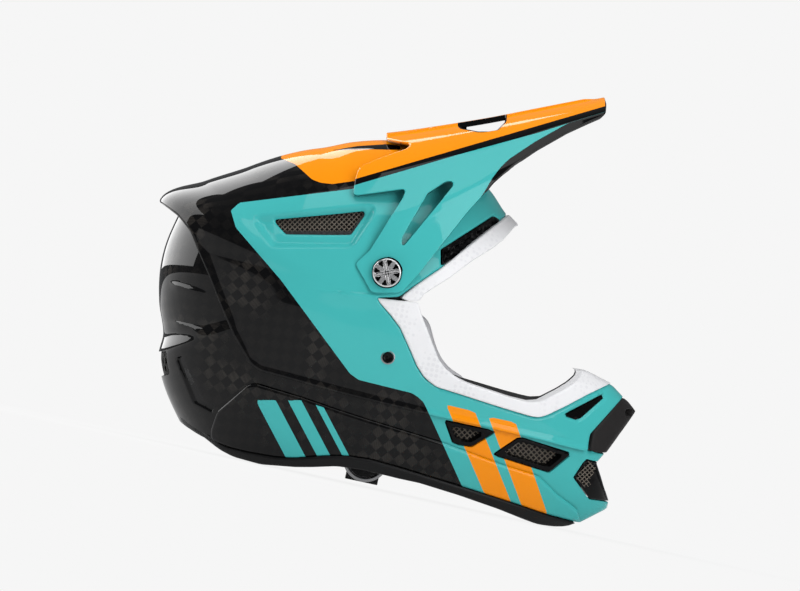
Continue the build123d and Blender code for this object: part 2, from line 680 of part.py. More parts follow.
def visor_openings():
    """Window in the top, slots in the legs, and the ways to the three screws."""
    window_half = hood_half_width * visor_window_width_share
    slot_half = centre_shank_radius + centre_slot_gap
    head_half = centre_head_radius + lug_gap
    head_top = lug_outer + centre_head_height
    return [
        prism(placed(visor_window_shares), -window_half, window_half),
        both_sides(prism(placed(visor_slot_shares), hood_half_width / 2, reach)),
        both_sides(rod(screw_shank_radius + running_fit, 0, 0, 0, reach)),
        both_sides(rod(screw_head_radius + head_recess_gap, 0, 0, head_seat, reach)),
        crown_sector(crown_radius, lug_outer + lug_wall, slot_start, slot_end, slot_half),
        crown_sector(lug_outer, reach, slot_start - head_pitch, slot_end + head_pitch, head_half),
        crown_sector(head_top, reach, slot_start - access_pitch, slot_end + access_pitch, access_radius)]


def visor():
    """Peak over the brow, with two legs on the side screws and a slotted lug on the crown."""
    leg = rod(leg_radius, 0, 0, leg_inner, leg_outer)
    land = rod(leg_radius + leg_clearance, 0, 0, 0, leg_inner)
    proud = rod(leg_radius + leg_clearance, 0, 0, leg_outer, reach)
    shape = visor_skin() - both_sides(land) - both_sides(proud) + leg + mirrored(leg)
    for opening in visor_openings():
        shape = shape - opening
    return max(shape.solids(), key=lambda solid: solid.volume)


def visor_screw():
    """Side screw on the left, turned by hand or coin."""
    head = rod(screw_head_radius, 0, 0, head_seat + washer_gap, head_seat + washer_gap + screw_head_height)
    shank = rod(screw_shank_radius, 0, 0, boss_face, head_seat + washer_gap)
    thread = rod(screw_thread_radius, 0, 0, boss_face - screw_thread_length, boss_face)
    slot = Solid.make_box(2 * screw_head_radius, reach, rib_wall,
                          Plane((-screw_head_radius, head_seat + screw_head_height / 2, -rib_wall / 2)))
    return head + shank + thread - slot - Location((0, 0, 0), (0, 90, 0)) * slot


def visor_washer():
    ring = rod(washer_radius, 0, 0, boss_face + washer_gap / 2, leg_inner - washer_gap / 2)
    return ring - rod(screw_shank_radius + running_fit, 0, 0, 0, reach)


def pivot_insert():
    """Threaded insert that the side screw goes into, with its flange inside the shell."""
    back = boss_face - boss_depth
    barrel = rod(insert_radius, 0, 0, back, boss_face - washer_gap)
    flange = rod(insert_flange_radius, 0, 0, back - insert_flange_height, back - washer_gap)
    return barrel + flange - rod(screw_thread_radius + thread_fit, 0, 0, 0, reach)


def centre_screw():
    seat = lug_outer + centre_head_gap
    head = radial(centre_head_radius, seat, seat + centre_head_height)
    shank = radial(centre_shank_radius, crown_face - centre_screw_depth + insert_flange_height, seat)
    socket = radial(centre_shank_radius, seat + centre_head_height / 2, seat + 2 * centre_head_height)
    return head + shank - socket


def centre_insert():
    """Threaded insert under the visor's centre screw, with its flange inside the shell."""
    radius = insert_radius - running_fit - insert_fit
    back = crown_face - centre_screw_depth
    flange_back = back - washer_gap - insert_flange_height
    barrel = radial(radius, flange_back, crown_face - washer_gap)
    flange = radial(insert_flange_radius, flange_back, back - washer_gap)
    return barrel + flange - radial(centre_shank_radius + thread_fit, 0, reach)


def head_space(grow=0.0):
    """The space that the head takes: an egg on a straight neck that runs down and out."""
    rings = [head_ring(0.0, grow)] + [head_ring(height, grow) for height in head_height_shares]
    neck = Solid.extrude(Face(head_ring(0.0, grow)), (0, 0, -reach))
    return Part() + Solid.make_loft(rings) + neck


def head_ring(height_share, grow):
    """One level ring of the head space, at a share of the height above its middle."""
    size = math.sqrt(1 - height_share**2)
    points = []
    for k in range(ring_points):
        angle = 2 * math.pi * k / ring_points
        along = (cavity_length / 2 + grow) * size * math.cos(angle)
        across = (cavity_width / 2 + grow) * size * math.sin(angle)
        height = height_share * (cavity_height / 2 + grow)
        points.append(Vector(cavity_centre[0] + along, across, cavity_centre[1] + height))
    return Wire([Edge.make_spline(points, periodic=True)])


def strap_channel():
    """Room for the strap, its plate and rivet between shell and foam, on the left."""
    half = strap_width / 2 + 2 * strap_gap
    start = 2 * anchor_radius + 2 * strap_gap
    depth = foot + 4 * strap_wall
    block = Part() + Solid.make_box(2 * half, reach, start + reach, Plane((-half, depth, -reach)))
    return at_rivet(block)


def at_rivet(shape):
    """Hangs a piece from the rivet, plumb when the helmet stands."""
    return Location((rivet_x, 0, rivet_z), (0, stand_angle, 0)) * shape


def eps_liner():
    """Crush foam over the crown, sides and back of the head."""
    block = prism(placed(liner_edge_shares + liner_closing_shares))
    back = boss_face - boss_depth - foam_gap
    room = rod(insert_flange_radius + foam_gap, 0, 0, back - insert_flange_height, reach)
    land = rod(boss_radius + foam_gap, 0, 0, back, reach)
    crown_back = crown_face - centre_screw_depth - 2 * insert_flange_height
    vent = placed(side_vent_shares)
    duct = prism(vent, body.side(*middle_of(vent)) - duct_depth, reach)
    for cut in (room, land, strap_channel(), duct):
        block = block - cut - mirrored(cut)
    block = block - radial(insert_flange_radius + foam_gap, crown_back, reach) - port_channel()
    foam = (block & body.solid(-shell_wall - foam_gap)) - head_space()
    return max(foam.solids(), key=lambda solid: solid.volume)


def port_channel():
    """Air channel in the foam behind the rear port."""
    half = hood_half_width * rear_port_width_share + foam_gap
    points = shifted(placed(rear_port_shares), comfort_wall, 0)
    return prism(drawn_to(points, middle_of(points), -4 * foam_gap), -half, half)


def cheek_foam():
    """Foam block between the shell and the cheek pad, on the left."""
    block = prism(placed(cheek_foam_shares), pad_back + pad_gap, reach) - strap_channel()
    for x, z in placed(snap_shares):
        block = block - rod(snap_radius + snap_gap, x, z, 0, pad_back + pad_gap + snap_depth)
    foam = block & body.solid(-shell_wall - foam_gap)
    return max(foam.solids(), key=lambda solid: solid.volume)


def cheek_pad():
    """Cushion with a drawn-in edge and a crown towards the cheek, on the left."""
    points = placed(pad_shares)
    middle = middle_of(points)
    rings = []
    for height, size in pad_layer_shares:
        y = pad_face + (pad_back - pad_face) * height
        sized = [(middle[0] + (x - middle[0]) * size, middle[1] + (z - middle[1]) * size) for x, z in points]
        ring = [Vector(x, y, z) for x, z in sized]
        rings.append(Wire([Edge.make_spline(ring, periodic=True)]))
    pad = Part() + Solid.make_loft(rings)
    for x, z in placed(snap_shares):
        pad = pad - rod(snap_radius + snap_gap, x, z, pad_back - snap_depth - snap_gap, reach)
    return pad


def snaps():
    """Press studs that hold the cheek pad to its foam, on the left."""
    studs = Part()
    end = pad_back + pad_gap + snap_depth - washer_gap
    for x, z in placed(snap_shares):
        studs = studs + rod(snap_radius, x, z, pad_back - snap_depth, end)
    return studs


def chin_foam():
    """Foam bar inside the chin, with a mouth opening in the middle."""
    outer = guard_depth + net_gap + net_wall + chin_foam_gap
    bar = body.skin(prism(placed(chin_foam_shares)), -outer, -outer - chin_foam_wall)
    bar = bar - prism(placed(breath_shares), -breath_half_width, breath_half_width)
    return max(bar.solids(), key=lambda solid: solid.volume)


def comfort_liner():
    """Washable lining: a brow band with straps of padding over the crown."""
    layer = head_space(-foam_gap) - head_space(-comfort_wall)
    layer = layer & prism(placed(liner_edge_shares + liner_closing_shares))
    x, z = cavity_centre
    wide = cavity_width * lining_strap_share
    cross = cavity_length * lining_cross_share
    tall = cavity_height * lining_band_share
    keep = Part() + Solid.make_box(2 * reach, wide, reach, Plane((-reach, -wide / 2, z)))
    keep = keep + Solid.make_box(cross, 2 * reach, reach, Plane((x - cross / 2, -reach, z)))
    band = Solid.make_box(2 * reach, 2 * reach, tall, Plane((-reach, -reach, z - tall / 2)))
    nape_width = cavity_width * lining_nape_share
    nape_corner = (x - reach - cross, -nape_width / 2, z - cavity_height * lining_nape_low_share)
    nape = Solid.make_box(reach, nape_width, cavity_height * lining_nape_share, Plane(nape_corner))
    layer = layer & (keep + band + nape)
    return max(layer.solids(), key=lambda solid: solid.volume)


def neck_roll():
    """Padded roll round the back of the neck opening."""
    outer = shell_wall + neck_roll_gap
    return body.skin(prism(placed(neck_roll_shares)), -outer, -outer - neck_roll_wall)


def ribbon(points, wall, half_width):
    """A strip that follows points given as (y, height), with a thickness and a half width."""
    left, right = [], []
    for k, (y, z) in enumerate(points):
        y0, z0 = points[max(k - 1, 0)]
        y1, z1 = points[min(k + 1, len(points) - 1)]
        span = math.hypot(y1 - y0, z1 - z0)
        ny, nz = -(z1 - z0) / span * wall / 2, (y1 - y0) / span * wall / 2
        left.append((y + ny, z + nz))
        right.append((y - ny, z - nz))
    corners = [Vector(-half_width, y, z) for y, z in left + list(reversed(right))]
    return Part() + Solid.extrude(Face(Wire.make_polygon(corners)), (2 * half_width, 0, 0))


def strap_fall():
    """First part of both straps: down between shell and foam, then inward under the foam."""
    fall = [(strap_face + y * strap_drop, z * strap_drop) for y, z in strap_fall_shares]
    turn_y, turn_z = strap_turn_share
    return [(strap_face, anchor_radius)] + fall + [(foot + turn_y * strap_drop, turn_z * strap_drop)]


def ring_place():
    """Height of the rings' bars below the rivet."""
    return foot, -strap_ring_share * strap_drop


def strap_hole():
    return rod(rivet_shank_radius + rivet_fit, 0, 0, 0, reach)


def chin_strap_left():
    """Long strap: it hangs down inside and lies along the surface below."""
    floor = plumb_height() - flat_depth - 2 * strap_wall
    lay = [(foot + y * strap_drop, z * strap_drop) for y, z in strap_lay_shares]
    sag_y, sag_drop, sag_floor = strap_sag_shares
    lay.append((foot + sag_y * strap_drop, sag_drop * strap_drop + sag_floor * floor))
    lay += [(foot + y * strap_drop, -floor) for y in strap_rest_shares]
    strip = ribbon(strap_fall() + lay, strap_wall, strap_width / 2)
    return at_rivet(strip - strap_hole())


def plumb_height():
    """Height of the rivets above the surface that the helmet stands on."""
    low = max(-x * math.sin(lean) - z * math.cos(lean) for x, z in placed(trim_bottom_shares))
    return low + rivet_x * math.sin(lean) + rivet_z * math.cos(lean)


def chin_strap_right():
    """Short strap: its end is sewn round the bars of the two rings."""
    y, z = ring_place()
    across = ring_pitch / 2 + loop_radius
    strip = ribbon(strap_fall() + [(y, z + loop_radius + strap_wall)], strap_wall, strap_width / 2)
    outer = across + strap_wall
    tall = loop_radius + strap_wall
    corner = Plane((-strap_width / 2, y - outer, z - tall))
    tube = Part() + Solid.make_box(strap_width, 2 * outer, 2 * tall, corner)
    bore = Solid.make_box(2 * strap_width, 2 * across, 2 * loop_radius,
                          Plane((-strap_width, y - across, z - loop_radius)))
    return mirrored(at_rivet(strip + tube - bore - strap_hole()))


def d_ring(side):
    """One of the two rings on the right: a straight bar and a round bow of one wire."""
    y, z = ring_place()
    y += side * ring_pitch / 2
    half = ring_inner_width / 2 + ring_wire_radius
    straight = ring_height - half
    bar = Edge.make_line((-half, y, z), (half, y, z))
    right = Edge.make_line((half, y, z), (half, y, z - straight))
    bow = ThreePointArc((half, y, z - straight), (0, y, z - straight - half), (-half, y, z - straight)).edge()
    left = Edge.make_line((-half, y, z - straight), (-half, y, z))
    ring = Part()
    for edge in (bar, right, bow, left):
        start = edge.position_at(0)
        section = Wire.make_circle(ring_wire_radius, Plane(start, z_dir=edge.tangent_at(0)))
        ring = ring + Solid.sweep(Face(section), Wire([edge]))
    for x, height in ((-half, z), (half, z), (half, z - straight), (-half, z - straight)):
        ring = ring + Location((x, y, height)) * Solid.make_sphere(ring_wire_radius, angle1=-90, angle2=90)
    return mirrored(at_rivet(ring))


def anchor_plate():
    """Steel plate between strap and shell, on the left."""
    back = strap_face + strap_wall / 2 + strap_gap / 2
    plate = rod(anchor_radius, 0, 0, back, back + anchor_wall)
    return at_rivet(plate - strap_hole())


def strap_rivet():
    """Rivet from outside the shell through plate and strap, on the left."""
    head = rod(rivet_head_radius, rivet_x, rivet_z, rivet_face, rivet_face + rivet_head_height)
    tail = strap_face - strap_wall / 2 - strap_gap / 2
    shank = rod(rivet_shank_radius, rivet_x, rivet_z, tail, rivet_face)
    end = rod(rivet_head_radius, rivet_x, rivet_z, tail - rivet_tail_height, tail)
    return head + shank + end


def all_pieces():
    """Every piece by the name of its node, as the helmet is worn."""
    pieces = {}
    pieces["outer_shell"] = outer_shell()
    pieces["base_trim"] = base_trim()
    pieces["eyeport_trim_upper"] = eyeport_trim(brow_edge, placed(brow_inner_shares))
    pieces["eyeport_trim_lower"] = eyeport_trim(cheek_edge, placed(cheek_inner_shares))
    pieces["visor"] = visor()
    pieces["visor_screw_left"] = visor_screw()
    pieces["visor_screw_right"] = mirrored(pieces["visor_screw_left"])
    pieces["visor_centre_screw"] = centre_screw()
    pieces["visor_washers"] = both_sides(visor_washer())
    pieces["pivot_inserts"] = both_sides(pivot_insert())
    pieces["centre_insert"] = centre_insert()
    pieces.update(pairs("brow_vent_grille", brow_grille()))
    side_vent = placed(side_vent_shares)
    pieces.update(pairs("side_vent_mesh", net(hood, side_vent, shell_wall + net_gap, 45)))
    for place, shares in (("front", front_chin_vent_shares), ("rear", rear_chin_vent_shares)):
        points = placed(shares)
        pieces.update(pairs("chin_vent_bezel_" + place, bezel(points)))
        opening = drawn_to(points, middle_of(points), bezel_width)
        pieces.update(pairs("chin_vent_mesh_" + place, net(body, opening, bezel_depth + net_gap, 45)))
    slot = placed(cheek_slot_shares)
    pieces.update(pairs("cheek_slot_plug", hood.skin(prism(slot, 0, reach), 0, -bezel_depth)))
    pieces["mouth_guard"] = mouth_guard()
    pieces["mouth_mesh"] = front_net(hood, guard_block())
    pieces["chin_intake"] = chin_intake()
    pieces["chin_intake_mesh"] = front_net(body, intake_block())
    pieces["rear_exhaust_mesh"] = rear_net()
    pieces["eps_liner"] = eps_liner()
    pieces.update(pairs("cheek_foam", cheek_foam()))
    pieces["chin_foam"] = chin_foam()
    pieces["comfort_liner"] = comfort_liner()
    pieces.update(pairs("cheek_pad", cheek_pad()))
    pieces["cheek_pad_snaps"] = both_sides(snaps())
    pieces["neck_roll"] = neck_roll()
    pieces["chin_strap_left"] = chin_strap_left()
    pieces["chin_strap_right"] = chin_strap_right()
    pieces["strap_anchor_plates"] = both_sides(anchor_plate())
    pieces["strap_rivets"] = both_sides(strap_rivet())
    pieces["d_ring_outer"] = d_ring(1)
    pieces["d_ring_inner"] = d_ring(-1)
    return pieces


def pairs(name, left):
    """The left and the right piece of a pair."""
    return {name + "_left": left, name + "_right": mirrored(left)}


def box_middle(shapes):
    """Middle of x, and lowest z, of the meshed shapes."""
    points = [point for shape in shapes for point in shape.tessellate(mesh_tolerance)[0]]
    xs = [point.X for point in points]
    return (min(xs) + max(xs)) / 2, min(point.Z for point in points)


def write_all():
    """Stands the helmet on its rims with the origin under its middle, and writes every piece."""
    os.makedirs("parts", exist_ok=True)
    back = Location((0, 0, 0), (0, -stand_angle, 0))
    lifted = {name: back * shape for name, shape in all_pieces().items()}
    middle_x, bottom = box_middle(lifted.values())
    for name, shape in lifted.items():
        export_step(Location((-middle_x, 0, -bottom)) * shape, "parts/" + name + ".step")
    print("screw axis at", round(-middle_x, 4), 0, round(-bottom, 4), "leaned back by", round(stand_angle, 4))
    print("lug slot from", round(slot_start, 2), "to", round(slot_end, 2), "degrees forward of up")


write_all()
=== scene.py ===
# %% [markdown]
# # A full face helmet for downhill riding
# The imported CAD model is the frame. It says where every piece is and how it moves.
# This script builds the looks round it: a painted shell in three layers, a visor,
# rubber edging, wire nets, pads and straps. Everything is in metres, where the CAD has it.

# %% The frame
import json
import math

import bmesh
import bpy
import numpy as np
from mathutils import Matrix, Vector


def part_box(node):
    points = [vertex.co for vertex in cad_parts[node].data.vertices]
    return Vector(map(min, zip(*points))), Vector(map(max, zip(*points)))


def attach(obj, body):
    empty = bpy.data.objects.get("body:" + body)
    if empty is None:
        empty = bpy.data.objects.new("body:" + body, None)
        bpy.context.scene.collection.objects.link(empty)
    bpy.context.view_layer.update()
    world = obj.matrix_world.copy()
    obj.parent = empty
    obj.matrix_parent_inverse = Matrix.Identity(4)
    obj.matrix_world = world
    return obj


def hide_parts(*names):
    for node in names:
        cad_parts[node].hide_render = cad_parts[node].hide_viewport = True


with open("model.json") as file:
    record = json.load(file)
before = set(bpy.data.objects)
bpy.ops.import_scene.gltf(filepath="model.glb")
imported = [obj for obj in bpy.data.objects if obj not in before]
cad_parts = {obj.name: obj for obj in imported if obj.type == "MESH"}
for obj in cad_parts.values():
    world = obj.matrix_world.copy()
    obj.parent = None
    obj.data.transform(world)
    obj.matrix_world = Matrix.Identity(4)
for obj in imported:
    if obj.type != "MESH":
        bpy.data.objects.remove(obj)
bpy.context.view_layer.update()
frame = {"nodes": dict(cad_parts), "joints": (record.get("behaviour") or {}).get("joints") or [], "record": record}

# %% [markdown]
# ## Two frames
# The helmet is drawn as it is worn: x forward, y to the rider's left, z up, in
# millimetres from the axis of the visor's screws. It stands leaned back on its rims,
# so one function takes worn millimetres to the frame's metres.

# %% From worn millimetres to metres
MM = 0.001
SIDES = (("left", 1), ("right", -1))
CENTRE_SCREW_ANGLE = math.radians(24)
crown_axis = next(j for j in frame["joints"] if j["name"] == "screw_centre_turn")["axis"]
LEAN = CENTRE_SCREW_ANGLE - math.atan2(crown_axis[0], crown_axis[2])
screw_low, screw_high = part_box("visor_screw_left")
PIVOT = np.array([(screw_low.x + screw_high.x) / 2, 0.0, (screw_low.z + screw_high.z) / 2])
TURN = np.array([[math.cos(LEAN), 0, -math.sin(LEAN)], [0, 1, 0], [math.sin(LEAN), 0, math.cos(LEAN)]])


def standing(points):
    """Worn millimetres to the frame's metres."""
    return np.asarray(points, float) @ TURN.T * MM + PIVOT


def worn(points):
    """The frame's metres to worn millimetres."""
    return (points - PIVOT) @ TURN / MM


print("lean", round(math.degrees(LEAN), 2), "pivot", PIVOT.round(4))

# %% [markdown]
# Small helpers that every piece uses: put it in the scene, give it one material, take the
# mesh that its modifiers make, and say where it belongs.

# %% Helpers for pieces
def added(name, data):
    """An object in the scene for its data."""
    made = bpy.data.objects.new(name, data)
    bpy.context.scene.collection.objects.link(made)
    return made


def coated(data, material):
    data.materials.clear()
    data.materials.append(material)


def applied(piece):
    """The mesh that a piece's modifiers make. The modifiers are taken off."""
    made = bpy.data.meshes.new_from_object(piece.evaluated_get(bpy.context.evaluated_depsgraph_get()))
    piece.modifiers.clear()
    return made


def vectors(mesh, title):
    """One vector for each vertex of a mesh."""
    flat = np.zeros(len(mesh.vertices) * 3, np.float32)
    mesh.vertices.foreach_get(title, flat)
    return flat.reshape(-1, 3).astype(float)


def move_to(mesh, points):
    mesh.vertices.foreach_set("co", np.asarray(points).astype(np.float32).ravel())


def mended(mesh, weld=0.0):
    """Welds close points if asked, and turns all faces outward."""
    bm = bmesh.new()
    bm.from_mesh(mesh)
    if weld:
        bmesh.ops.remove_doubles(bm, verts=bm.verts, dist=weld)
    bmesh.ops.recalc_face_normals(bm, faces=bm.faces)
    bm.to_mesh(mesh)
    bm.free()


def linked(tree, pairs):
    """Links the sockets of a node tree, pair by pair."""
    for start, end in pairs:
        tree.links.new(start, end)


def joined(piece, body, node=None):
    """Says what a piece rides on and the CAD node that it replaces."""
    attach(piece, body)
    if node:
        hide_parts(node)
    return piece


# %% [markdown]
# ## The camera
# The photograph is an exact side view, three quarters of a millimetre to a pixel.
# A very long lens from far away keeps the near and the far side the same size.
# The camera is rolled by the lean, because the helmet is photographed as it is worn.

# %% Camera
PHOTO_WIDTH = 800
MM_PER_PIXEL = 0.75
DISTANCE = 20.0
SENSOR = 36.0
camera_data = bpy.data.cameras.new("side_camera")
camera = added("side_camera", camera_data)
camera_data.sensor_width = SENSOR
camera_data.lens = SENSOR * DISTANCE / (PHOTO_WIDTH * MM_PER_PIXEL * MM)
aim = standing([(9.75, 0, -16.9)])[0]
camera.location = Vector(aim) + Vector((0, -DISTANCE, 0))
camera.rotation_euler = (math.pi / 2, -LEAN, 0)
bpy.context.scene.camera = camera
print("lens", round(camera_data.lens))

# %% [markdown]
# ## Outlines
# Every edge of the shell is a line in the side view, in millimetres from the screw axis.
# Corners are rounded, and the distance from a point to an outline is what cuts,
# rounds and paints the surfaces later: it is below zero inside.

# %% Outline helpers
LENGTH, HEIGHT = 358.0, 292.0


def placed(shares):
    """Shares of the helmet's length and height, as millimetres."""
    return np.array(shares, float) * (LENGTH, HEIGHT)


def rounded(points, radius):
    """A closed outline with its corners turned into arcs."""
    points = np.asarray(points, float)
    made = []
    for before, corner, after in zip(np.roll(points, 1, 0), points, np.roll(points, -1, 0)):
        a, b = before - corner, after - corner
        la, lb = np.linalg.norm(a), np.linalg.norm(b)
        a, b = a / la, b / lb
        half = math.acos(float(np.clip(a @ b, -1, 1))) / 2
        reach = min(radius / max(math.tan(half), 1e-6), 0.45 * la, 0.45 * lb)
        steps = 1 + int((math.pi - 2 * half) / 0.3)
        for k in range(steps + 1):
            t = k / steps
            made.append((1 - t) ** 2 * (corner + a * reach) + 2 * t * (1 - t) * corner
                        + t * t * (corner + b * reach))
    return Outline(made)


GRID_LOW, GRID_HIGH = np.array([-216.0, -226.0]), np.array([206.0, 146.0])


def exact_distance(x, z, outline):
    """Signed distance to a closed outline, edge by edge."""
    near = np.full(x.shape, 1e9)
    within = np.zeros(x.shape, bool)
    for (ax, az), (bx, bz) in zip(outline, np.roll(outline, -1, 0)):
        dx, dz = bx - ax, bz - az
        t = np.clip(((x - ax) * dx + (z - az) * dz) / max(dx * dx + dz * dz, 1e-12), 0, 1)
        near = np.minimum(near, (x - ax - t * dx) ** 2 + (z - az - t * dz) ** 2)
        if az != bz:
            within ^= ((az > z) != (bz > z)) & (x < ax + dx * (z - az) / dz)
    return np.where(within, -np.sqrt(near), np.sqrt(near))


class Outline:
    """A closed line of the side view, with its distance kept on a one millimetre grid."""

    def __init__(self, points):
        self.points = np.asarray(points, float)
        xs, zs = (np.arange(low, high + 1) for low, high in zip(GRID_LOW, GRID_HIGH))
        self.table = exact_distance(*np.meshgrid(xs, zs, indexing="ij"), self.points).ravel()
        self.columns = len(zs)

    def __call__(self, points):
        spot = np.clip(points[:, [0, -1]] - GRID_LOW, 0, GRID_HIGH - GRID_LOW - 1e-3)
        cell = spot.astype(int)
        u, v = (spot - cell).T
        k = cell[:, 0] * self.columns + cell[:, 1]
        t, c = self.table, self.columns
        return ((1 - u) * ((1 - v) * t[k] + v * t[k + 1]) + u * ((1 - v) * t[k + c] + v * t[k + c + 1]))


def smooth_step(value):
    """From 0 to 1, level at both ends."""
    value = np.clip(value, 0, 1)
    return value * value * (3 - 2 * value)


# %% [markdown]
# ## The shell's envelope
# A helmet shell is a shape that swells evenly from its middle plane to its half width.
# Its side outline is a smooth curve in polar form, and each slice parallel to the middle
# is the same outline drawn in. The chin is cut flat by a few facets, which meet softly.

# %% Envelope
HULL_CENTRE = placed([(-0.0866, -0.0445)])[0]
HULL_POWER = 2.3
HOOD_HALF, BODY_HALF = 118.0, 114.5
hood_outline = placed([
    (-0.4721, 0.1952), (-0.3799, 0.2370), (-0.2860, 0.2747), (-0.1416, 0.3205), (-0.0693, 0.3366),
    (0, 0.3411), (0.0838, 0.3281), (0.1620, 0.2774), (0.2179, 0.2089), (0.2556, 0.1438),
    (0.3575, -0.0171), (0.4330, -0.1541), (0.4860, -0.2740), (0.5279, -0.3562), (0.5307, -0.4452),
    (0.4972, -0.5959), (0.4190, -0.6747), (0.2514, -0.7363), (0.0559, -0.7603), (-0.1676, -0.7192),
    (-0.3492, -0.5651), (-0.4413, -0.4041), (-0.4804, -0.2397), (-0.4860, -0.0685), (-0.4804, 0.0856)])
body_outline = placed([
    (-0.4190, 0.1781), (-0.3575, 0.2158), (-0.2765, 0.2603), (-0.1397, 0.3103), (-0.0684, 0.3264),
    (0, 0.3308), (0.0810, 0.3178), (0.1564, 0.2699), (0.2109, 0.2038), (0.2486, 0.1387),
    (0.3492, -0.0205), (0.4246, -0.1575), (0.4777, -0.2740), (0.5196, -0.3562), (0.5223, -0.4452),
    (0.4888, -0.5890), (0.4134, -0.6644), (0.2514, -0.7260), (0.0559, -0.7500), (-0.1676, -0.7089),
    (-0.3408, -0.5514), (-0.4288, -0.3938), (-0.4707, -0.2740), (-0.4791, -0.2123), (-0.4687, -0.1541),
    (-0.4771, -0.0753), (-0.4721, 0.0342), (-0.4497, 0.1164)])
chin_facets = placed([
    (0.3000, -0.1900), (0.4126, -0.2493), (0.4690, -0.2849), (0.4966, -0.3205), (0.5196, -0.3545),
    (0.4564, -0.4599), (0.4422, -0.4805), (0.4358, -0.4880), (0.4628, -0.5894), (0.4606, -0.6048),
    (0.3986, -0.6428)])
CHIN_SOFTNESS = 2.0


class Envelope:
    """A rounded hull: a side outline that swells to a half width."""

    def __init__(self, outline, half):
        offset = outline - HULL_CENTRE
        angle = np.arctan2(offset[:, 1], offset[:, 0]) % (2 * math.pi)
        order = np.argsort(angle)
        self.angle, self.away, self.half = angle[order], np.hypot(*offset.T)[order], half

    def radius(self, angle):
        """Radius of the outline at an angle, by a smooth curve through its points."""
        angle = np.asarray(angle) % (2 * math.pi)
        count = len(self.angle)
        index = np.searchsorted(self.angle, angle, side="right")
        turns = [(index + step) // count for step in (-2, -1, 0, 1)]
        places = [(index + step) % count for step in (-2, -1, 0, 1)]
        (a0, r0), (a1, r1), (a2, r2), (a3, r3) = [
            (self.angle[p] + t * 2 * math.pi, self.away[p]) for p, t in zip(places, turns)]
        angle = np.where(angle < a1, angle + 2 * math.pi, angle)
        span = a2 - a1
        u = (angle - a1) / span
        slope1 = (r2 - r0) / (a2 - a0) * span
        slope2 = (r3 - r1) / (a3 - a1) * span
        start = (2 * u**3 - 3 * u**2 + 1) * r1 + (u**3 - 2 * u**2 + u) * slope1
        return start + (3 * u**2 - 2 * u**3) * r2 + (u**3 - u**2) * slope2

    def place(self, params, rise=0.0):
        """Points at (angle round the side view, angle across), lifted by a rise."""
        angle, across = params[:, 0], params[:, 1]
        shrink = np.maximum(np.cos(across), 0) ** (2 / HULL_POWER)
        out = np.sign(across) * np.abs(np.sin(across)) ** (2 / HULL_POWER)
        reach = (self.radius(angle) + rise) * shrink
        x = HULL_CENTRE[0] + reach * np.cos(angle)
        z = HULL_CENTRE[1] + reach * np.sin(angle)
        front = chin_front(z) + rise
        gap = np.clip((front - x) / CHIN_SOFTNESS, -40, 40)
        x = x - CHIN_SOFTNESS * np.log1p(np.exp(-gap))
        return np.column_stack([x, out * (self.half + rise), z])

    def side(self, x, z, rise=0.0):
        """How far out the surface is at a point of the side view."""
        dx, dz = np.asarray(x) - HULL_CENTRE[0], np.asarray(z) - HULL_CENTRE[1]
        share = np.hypot(dx, dz) / (self.radius(np.arctan2(dz, dx)) + rise)
        return (self.half + rise) * np.maximum(1 - share**HULL_POWER, 0) ** (1 / HULL_POWER)


def chin_front(z):
    """How far forward the chin's facets let the hull come, at a height."""
    heights, fronts = chin_facets[::-1, 1], chin_facets[::-1, 0]
    return np.where(z > heights[-1], 1e3, np.interp(z, heights, fronts))


hood, body = Envelope(hood_outline, HOOD_HALF), Envelope(body_outline, BODY_HALF)
print("hood radius ahead", float(hood.radius(0.0).round(1)))

# %% [markdown]
# ## Sheets that are cut along lines
# A surface starts as a fine grid in two parameters. Splitting its triangles exactly where
# a distance is zero gives crisp openings, and splitting at a few depths next to the edge
# lets that edge roll over, as a moulded edge does. The sheet then gets an inner wall.
# Normals come from the surface itself, so thin triangles along a cut don't show in the gloss.

# %% Sheet
SNAP, ON_LINE = 0.3, 1e-2
STEP = 1e-4
HALVINGS = 9


